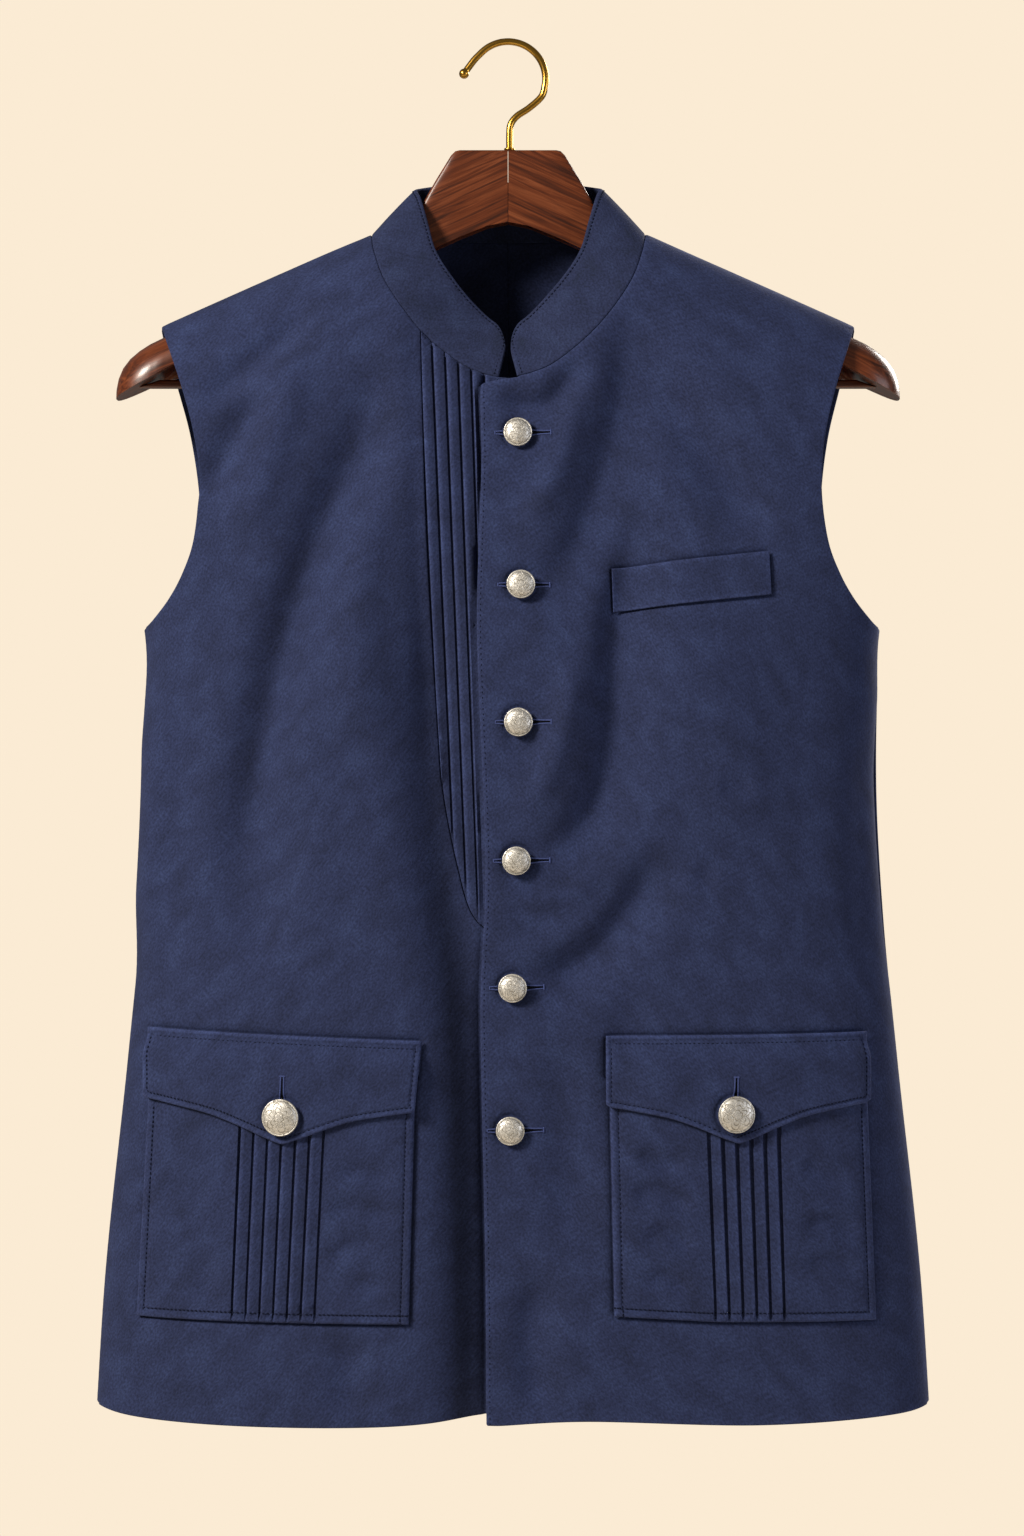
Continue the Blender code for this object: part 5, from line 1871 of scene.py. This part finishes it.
@dataclass(frozen=True)
class ChestWelt:
    """The welt of the chest pocket."""

    gap: float = 0.8
    wall: float = 1.1

    def inner(self, x: Array, z: Array) -> Array:
        """Inner face of the welt."""
        return PANELS.right(x, z) + self.gap

    def outer(self, x: Array, z: Array) -> Array:
        """Outer face of the welt, a little puffed between its edges."""
        edge = line_through([*WELT, WELT[0]], 4.0, smooth=False)
        away = distance_to(pairs(x, z), edge)
        return self.inner(x, z) + self.wall + 0.35 * ease(away / 6.0)

    def build(self, cloth: Material) -> None:
        """Make the welt."""
        outline = all_round(WELT, 1.8)
        cut = ClothCut("cloth_chest_welt", outline, Face.FRONT, self.outer, self.inner, 2.6,
                       insets=(1.8, 3.2), edge=0.6, edge_highlight=0.7)
        cut.declare(cut.build(cloth), "chest_welt", ["cloth_front_right"])


@dataclass(frozen=True)
class Buttonhole:
    """A worked buttonhole: two purled lips, a slit that the shank opens, and a bar."""

    far: Point              # the end with the bar
    button: Point
    tail: float             # how far past the button's middle the other end shows
    lift: Lift
    lip: float = 0.5
    rib: float = 0.7
    spread: float = 1.05
    bar: float = 3.4

    def _cord(self, places: Array, radius: float, above: float) -> tuple[Array, Faces]:
        """A purled cord along front-view places."""
        route = evenly(places, self.rib / 4.5)
        points, normals = on_cloth(route, shifted(self.lift, above))
        return ribbed_cord(points, normals, radius, self.rib)

    def build(self, name: str, thread: Material, dark: Material) -> None:
        """Make the buttonhole beside its button."""
        far, near = np.array(self.far, float), np.array(self.button, float)
        run = (near - far) / np.linalg.norm(near - far)
        aside = np.array([-run[1], run[0]])
        reach = float(np.linalg.norm(near - far)) - 5.0
        parts = []
        for way in (-1, 1):
            start = far + aside * way * self.spread * 0.8 + run * 0.3
            turn = far + aside * way * self.spread + run * reach * 0.5
            end = far + aside * way * self.spread * 1.7 + run * reach
            parts.append(self._cord(line_through([start, turn, end], 0.4), self.lip, 0.12))
        ends = far + aside * self.bar / 2, far - aside * self.bar / 2
        parts.append(self._cord(np.array(ends), self.lip * 1.15, 0.16))
        if self.tail:
            tail = near + run * self.tail
            stop = near + run * (self.tail - 4.4)
            for way in (-1, 1):
                parts.append(self._cord(np.array([tail + aside * way * 0.75,
                                                  stop + aside * way * 0.95]), self.lip, 0.1))
            bar = tail + run * 0.25
            parts.append(self._cord(np.array([bar + aside * 1.1, bar - aside * 1.1]),
                                    self.lip, 0.12))
        enrol(finish_mesh(name, *merged(parts), thread))
        self.slit(f"{name}_slit", far, run, aside, reach, dark)

    def slit(self, name: str, far: Array, run: Array, aside: Array, reach: float,
             dark: Material) -> None:
        """The opening between the lips as painted shadow: a thin dark lens that widens to the
        shank.
        """
        steps = 14
        share = np.linspace(0, 1, steps)
        half = self.spread * (0.35 + 0.9 * share)
        upper = far + run * (0.4 + share * reach)[:, None] + aside * half[:, None]
        lower = far + run * (0.4 + share * reach)[:, None] - aside * half[:, None]
        outline = np.concatenate([upper, lower[::-1]])
        top, low = (on_cloth(outline, shifted(self.lift, by))[0] for by in (0.1, -0.1))
        count = len(outline)
        faces: Faces = []
        for i in range(steps - 1):
            j = count - 1 - i
            faces.append([i, i + 1, j - 1, j])
            faces.append([count + j, count + j - 1, count + i + 1, count + i])
        for i in range(count):
            j = (i + 1) % count
            faces.append([j, i, count + i, count + j])
        enrol(finish_mesh(name, np.concatenate([top, low]), faces, dark))


# ---- hard pieces


@dataclass(frozen=True)
class DomedButton:
    """A domed metal shank button, engraved, with a thin rim."""

    radius: float
    shank_radius: float = 2.6
    shank: float = 1.8
    rim: float = 1.5
    dome: float = 2.5
    stand: float = 0.3          # how far its foot stands off the cloth
    sides: int = 64
    rings: int = 9

    def shape(self, name: str) -> Piece:
        """Model the button about +Z at the world's origin, standing on its shank."""
        deselect()
        depth = self.rim * MM
        bpy.ops.mesh.primitive_cylinder_add(
            vertices=self.sides, radius=self.radius * MM, depth=depth,
            location=(0, 0, self.shank * MM + depth / 2),
        )
        piece = bpy.context.active_object
        piece.name = name
        bpy.ops.object.transform_apply(location=True, rotation=True, scale=True)
        self._select_cap(piece, top=True)
        bpy.ops.object.mode_set(mode="EDIT")
        inset((0.35, 0.18), (0.3, 0.0), (0.2, -0.22))
        left = self.radius - 0.85
        angles = np.linspace(0, math.pi / 2, self.rings + 1)[1:-1]
        at, height = left, 0.0
        for angle in angles:
            reach = left * math.cos(angle)
            rise = self.dome * math.sin(angle)
            inset((at - reach, rise - height))
            at, height = reach, rise
        bpy.ops.mesh.poke(offset=(self.dome - height) * MM * 0.6)
        bpy.ops.object.mode_set(mode="OBJECT")
        self._select_cap(piece, top=False)
        bpy.ops.object.mode_set(mode="EDIT")
        inset((0.7, 0.25), (self.radius - 0.7 - self.shank_radius, 0.1),
              (0.05, self.shank - 0.5))
        bpy.ops.object.mode_set(mode="OBJECT")
        soften(piece, 0.16, 2, smooth=50, limit=40)
        return piece

    @staticmethod
    def _select_cap(piece: Piece, top: bool) -> None:
        """Select the flat cap at the top or at the bottom, and nothing else."""
        only(piece)
        bpy.ops.object.mode_set(mode="EDIT")
        bpy.ops.mesh.select_mode(type="FACE")
        bpy.ops.mesh.select_all(action="DESELECT")
        bpy.ops.object.mode_set(mode="OBJECT")
        heights = [face.center.z for face in piece.data.polygons]
        aim = max(heights) if top else min(heights)
        for face in piece.data.polygons:
            face.select = abs(face.center.z - aim) < 1e-6 and abs(face.normal.z) > 0.9

    def build(self, name: str, node: str, spot: Point, lift: Lift, spin: float,
              silver: Material) -> None:
        """Model the button and stand it on the cloth.

        Args:
            name: The piece's name.
            node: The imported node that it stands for.
            spot: Its middle, seen from the front.
            lift: The outer face of the cloth below it.
            spin: How far it is turned about its shank, in degrees.
            silver: Its metal.
        """
        piece = self.shape(name)
        for layer in list(piece.data.uv_layers):
            piece.data.uv_layers.remove(layer)
        layer = piece.data.uv_layers.new(name="dome")
        for loop in piece.data.loops:
            place = piece.data.vertices[loop.vertex_index].co / (self.radius * MM)
            layer.data[loop.index].uv = (place.x, place.y)
        place = np.array([[spot.x, spot.z]])
        points, normals = on_cloth(place, shifted(lift, self.stand))
        turn = Vector(normals[0]).to_track_quat("Z", "X").to_matrix().to_4x4()
        piece.matrix_world = (Matrix.Translation(Vector(points[0]) * MM) @ turn
                              @ Matrix.Rotation(math.radians(spin), 4, "Z"))
        settle(piece)
        dress(piece, silver)
        enrol(piece, node)


@dataclass(frozen=True)
class Hanger:
    """The two wooden arms and the trouser bar.

    The arms turn from a flat board in the middle to broad round shoulders, so they are
    lofted through their sections; the bar is shaped from a block.
    """

    arch_points: int = 41
    groove_depth: float = 6.0
    groove: tuple[float, float] = (92.0, 204.0)
    land: float = 0.70
    rear_drop: float = 3.2
    bar_top: float = -194.6
    bar_low: float = -199.0
    bar_half_depth: float = 5.5
    bar_top_x: float = 201.6
    bar_low_x: float = 214.2
    bevel: float = 1.3

    def ring(self, x: float, side: int) -> list[tuple[float, float, float]]:
        """One section: an arch over a flat or hollowed underside."""
        top, rim, half, square = (float(straight_table(ARM_ROWS, column, np.array(x)))
                                  for column in ("top", "rim", "half_depth", "square"))
        out = []
        for angle in np.linspace(0, math.pi, self.arch_points):
            c, s = math.cos(angle), math.sin(angle)
            y = half * math.copysign(abs(c) ** (2 / square), c)
            z = rim + (top - rim) * abs(s) ** (2 / square)
            out.append((side * x, -y, z))
        start, end = self.groove
        share = float(np.interp(x, [start - 30, start, end - 12, end], [0, 1, 1, 0]))
        for way in (1, -1):
            shares = (0.97, self.land + 0.03, self.land, self.land * 0.86, self.land * 0.4)
            sinks = (-0.4, -0.4, 0.4, 1.0, 1.12)
            pairs = list(zip(shares, sinks))
            for width, sink in pairs if way > 0 else reversed(pairs):
                dip = self.groove_depth * share * max(sink, 0) + 0.4 * min(sink, 0)
                drop = self.rear_drop * share if way > 0 else 0.0
                out.append((side * x, way * width * half, rim + dip - drop * (width > 0.6)))
        return out

    def arm(self, side: int, name: str, wood: Material) -> None:
        """Loft one arm from the middle joint to its tip."""
        stations = []
        for row, after in zip(ARM_ROWS, ARM_ROWS[1:]):
            count = max(1, round((after.x - row.x) / 2.5))
            stations += [row.x + (after.x - row.x) * k / count for k in range(count)]
        stations.append(ARM_ROWS[-1].x)
        rings = [self.ring(x, side) for x in stations]
        points = np.array([p for ring in rings for p in ring])
        faces = tube_faces(len(rings), len(rings[0]))
        piece = finish_mesh(f"wood_arm_{name}", points, faces, wood, sharp=38, weld=0.003)
        enrol(piece, f"hanger_arm_{name}")

    def bar(self, wood: Material) -> None:
        """Shape the trouser bar from a block, its ends slanted like the arms above."""
        deselect()
        middle = (self.bar_top + self.bar_low) / 2
        bpy.ops.mesh.primitive_cube_add(size=1.0, location=(0, 0, middle * MM))
        piece = bpy.context.active_object
        piece.name = "wood_trouser_bar"
        piece.scale = (2 * self.bar_top_x * MM, 2 * self.bar_half_depth * MM,
                       (self.bar_top - self.bar_low) * MM)
        bpy.ops.object.transform_apply(location=True, rotation=True, scale=True)
        for vertex in piece.data.vertices:
            if vertex.co.z < middle * MM:
                vertex.co.x = math.copysign(self.bar_low_x * MM, vertex.co.x)
        soften(piece, self.bevel, 4, smooth=35)
        dress(piece, wood)
        enrol(piece, "trouser_bar")

    def build(self) -> None:
        """Make both arms and the bar, each with its own run of grain."""
        slope = math.atan(FORM.shoulder_slope)
        self.arm(-1, "left", Walnut(slope=slope).make())
        self.arm(1, "right", Walnut(slope=-slope).make())
        self.bar(Walnut(slope=0.0).make())


@dataclass(frozen=True)
class Hook:
    """The brass wire hook with its ball end, and the collar at its foot."""

    wire: float = 2.0
    ball: float = 2.9
    radius: float = 21.8
    arc: tuple[float, float] = (135.0, -6.0)
    ferrule_radius: float = 3.2
    ferrule_height: float = 1.3

    def route(self) -> Array:
        """The wire's centre line from the ball to the foot."""
        centre = Point(0.0, self.wire - self.radius)
        arc = [(centre.x + self.radius * math.cos(a), centre.z + self.radius * math.sin(a))
               for a in np.radians(np.linspace(*self.arc, 49))]
        tail = line_through([arc[-1], *HOOK_TAIL], 1.2)
        lead = line_through([HOOK_TIP, (-22.6, -12.6), (-19.2, -8.2), arc[0]], 1.5)
        return np.array([*lead[:-1], *arc, *tail[1:]])

    def build(self, brass: Material) -> None:
        """Bend the wire, add its ball and its collar."""
        route = self.route()
        curve = bpy.data.curves.new("wire", "CURVE")
        curve.dimensions = "3D"
        curve.bevel_depth = self.wire * MM
        curve.bevel_resolution = 6
        curve.use_fill_caps = True
        spline = curve.splines.new("POLY")
        spline.points.add(len(route) - 1)
        for point, (x, z) in zip(spline.points, route):
            point.co = (x * MM, 0.0, z * MM, 1.0)
        piece = bpy.data.objects.new("brass_hook", curve)
        bpy.context.scene.collection.objects.link(piece)
        only(piece)
        bpy.ops.object.convert(target="MESH")
        piece = bpy.context.active_object
        deselect()
        bpy.ops.mesh.primitive_uv_sphere_add(
            segments=40, ring_count=24, radius=self.ball * MM,
            location=(route[0][0] * MM, 0, route[0][1] * MM),
        )
        ball = bpy.context.active_object
        settle(ball)
        only(piece)
        union = piece.modifiers.new("ball", "BOOLEAN")
        union.operation = "UNION"
        union.object = ball
        bpy.ops.object.modifier_apply(modifier=union.name)
        bpy.data.objects.remove(ball)
        bpy.ops.object.shade_smooth_by_angle(angle=math.radians(50))
        dress(piece, brass)
        enrol(piece, "hook")
        self.ferrule(brass, route[-1][0])

    def ferrule(self, brass: Material, x: float) -> None:
        """A small turned collar where the wire enters the wood."""
        deselect()
        height = self.ferrule_height * MM
        bpy.ops.mesh.primitive_cylinder_add(
            vertices=48, radius=self.ferrule_radius * MM, depth=height,
            location=(x * MM, 0, (ARM_ROWS[0].top + 0.3) * MM + height / 2),
        )
        piece = bpy.context.active_object
        piece.name = "brass_ferrule"
        settle(piece)
        soften(piece, 0.4, 3, smooth=40)
        dress(piece, brass)
        enrol(piece, "hook_ferrule")


# ---- stage


@dataclass(frozen=True)
class Studio:
    """Camera, soft lights, plain background and pale floor."""

    distance: float = 2.1
    camera_x: float = 0.0023
    camera_z: float = -0.4193
    lens: float = 84.86
    floor_z: float = -1.4
    floor_side: float = 4.4
    floor_colour: str = "DACFBE"
    backdrop: str = "FBEBD4"
    haze: str = "F4EEE6"        # faint light from all round
    haze_strength: float = 0.16
    lamps: tuple[tuple[str, tuple[float, float, float], float, float, str], ...] = (
        ("key", (-1.6, -1.5, 0.75), 0.55, 86.0, "FFF6EA"),
        ("fill", (2.3, -1.3, -0.1), 1.4, 22.0, "F2F5FF"),
        ("back_fill", (1.5, 1.7, 0.6), 0.9, 52.0, "FFF8F0"),
    )

    def camera(self) -> None:
        """The camera, level and square to the front."""
        lens = bpy.data.cameras.new("camera")
        lens.lens = self.lens
        lens.sensor_width = 36.0
        made = bpy.data.objects.new("camera", lens)
        made.location = (self.camera_x, -self.distance, self.camera_z)
        made.rotation_euler = (math.pi / 2, 0, 0)
        bpy.context.scene.collection.objects.link(made)
        bpy.context.scene.camera = made

    def light(self, name: str, place: tuple[float, float, float], size: float, power: float,
              colour: str) -> None:
        """A square soft light aimed at the jacket's middle."""
        lamp = bpy.data.lights.new(name, "AREA")
        lamp.shape = "SQUARE"
        lamp.size = size
        lamp.energy = power
        lamp.color = linear(colour)[:3]
        made = bpy.data.objects.new(name, lamp)
        made.location = place
        aim = Vector((0, 0, self.camera_z)) - Vector(place)
        made.rotation_euler = aim.to_track_quat("-Z", "Y").to_euler()
        bpy.context.scene.collection.objects.link(made)

    def world(self) -> None:
        """A plain backdrop colour that lights the jacket only faintly."""
        world = bpy.data.worlds.new("backdrop")
        world.use_nodes = True
        bpy.context.scene.world = world
        tree = world.node_tree
        tree.nodes.clear()
        nodes = Nodes(tree)
        seen = nodes.add("LightPath", {}, "Is Camera Ray")
        ambient, plain = (
            nodes.add("Background", {"Color": linear(colour), "Strength": strength})
            for colour, strength in ((self.haze, self.haze_strength), (self.backdrop, 1.0))
        )
        mixed = nodes.add("MixShader", {0: seen, 1: ambient, 2: plain})
        surface = tree.nodes.new("ShaderNodeOutputWorld").inputs["Surface"]
        tree.links.new(mixed, surface)

    def floor(self) -> None:
        """A pale matt floor well below the hanging jacket."""
        deselect()
        bpy.ops.mesh.primitive_plane_add(size=self.floor_side, location=(0, 0, self.floor_z))
        piece = bpy.context.active_object
        piece.name = "floor"
        settle(piece)
        paint = linear(self.floor_colour)
        made, _ = new_material("painted floor", Base_Color=paint, Roughness=0.8)
        piece.data.materials.append(made)

    def build(self) -> None:
        """Set up everything that isn't the jacket."""
        self.camera()
        self.world()
        self.floor()
        for lamp in self.lamps:
            self.light(*lamp)
        bpy.context.scene.view_settings.view_transform = "Standard"


def main() -> None:
    """Build the jacket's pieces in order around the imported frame."""
    logging.basicConfig(level=logging.INFO, format="%(name)s %(message)s")
    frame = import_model()
    LOG.info("packed frame: %d nodes", len(frame["nodes"]))
    Studio().build()
    cloth = BrushedCotton().make()
    thread = SewingThread().make()
    # painted shadow: a near-black material for the buttonhole slits, where there is only shade
    dark = SewingThread("shadowed slit", "06080F").make()
    twist = SewingThread("buttonhole twist", "414C7A").make()
    silver = AntiqueSilver().make()
    PANELS.build(cloth, thread)
    # painted shade: the collar's cloth is a darker copy of the same twill, standing in for the
    # shade that falls on the collar
    band = BrushedCotton(dark="1D243B", middle="222945", light="28314F").make()
    Collar().build(band, thread)
    ChestWelt().build(cloth)
    pockets = (
        PatchPocket(Side.LEFT, LEFT_PATCH, *FLAP_SIDES[Side.LEFT][1:3], flap_in=3.6,
                    button=Point(-126.7, -616.0), hole_top=-593.0, wrinkled=2.6),
        PatchPocket(Side.RIGHT, RIGHT_PATCH, *FLAP_SIDES[Side.RIGHT][1:3], flap_in=0.0,
                    button=Point(127.3, -614.3), hole_top=-593.5, wrinkled=3.6),
    )
    for pocket in pockets:
        pocket.build(cloth, thread, twist, dark)
        DomedButton(radius=10.4).build(
            f"button_pocket_{pocket.word}", f"pocket_button_{pocket.word}", pocket.button,
            pocket.flap_outer, 20.0 * pocket.side.value, silver)
    small = DomedButton(radius=8.05)
    for number, (spot, end) in enumerate(zip(FRONT_BUTTONS, BUTTONHOLE_ENDS), 1):
        small.build(f"button_front_{number}", f"front_button_{number}", spot, PANELS.right,
                    47.0 * number, silver)
        Buttonhole(Point(end, spot.z + 0.2), spot, 12.6, PANELS.right).build(
            f"buttonhole_front_{number}", twist, dark)
    Hanger().build()
    Hook().build(PolishedBrass().make())


if __name__ == "__main__":
    main()
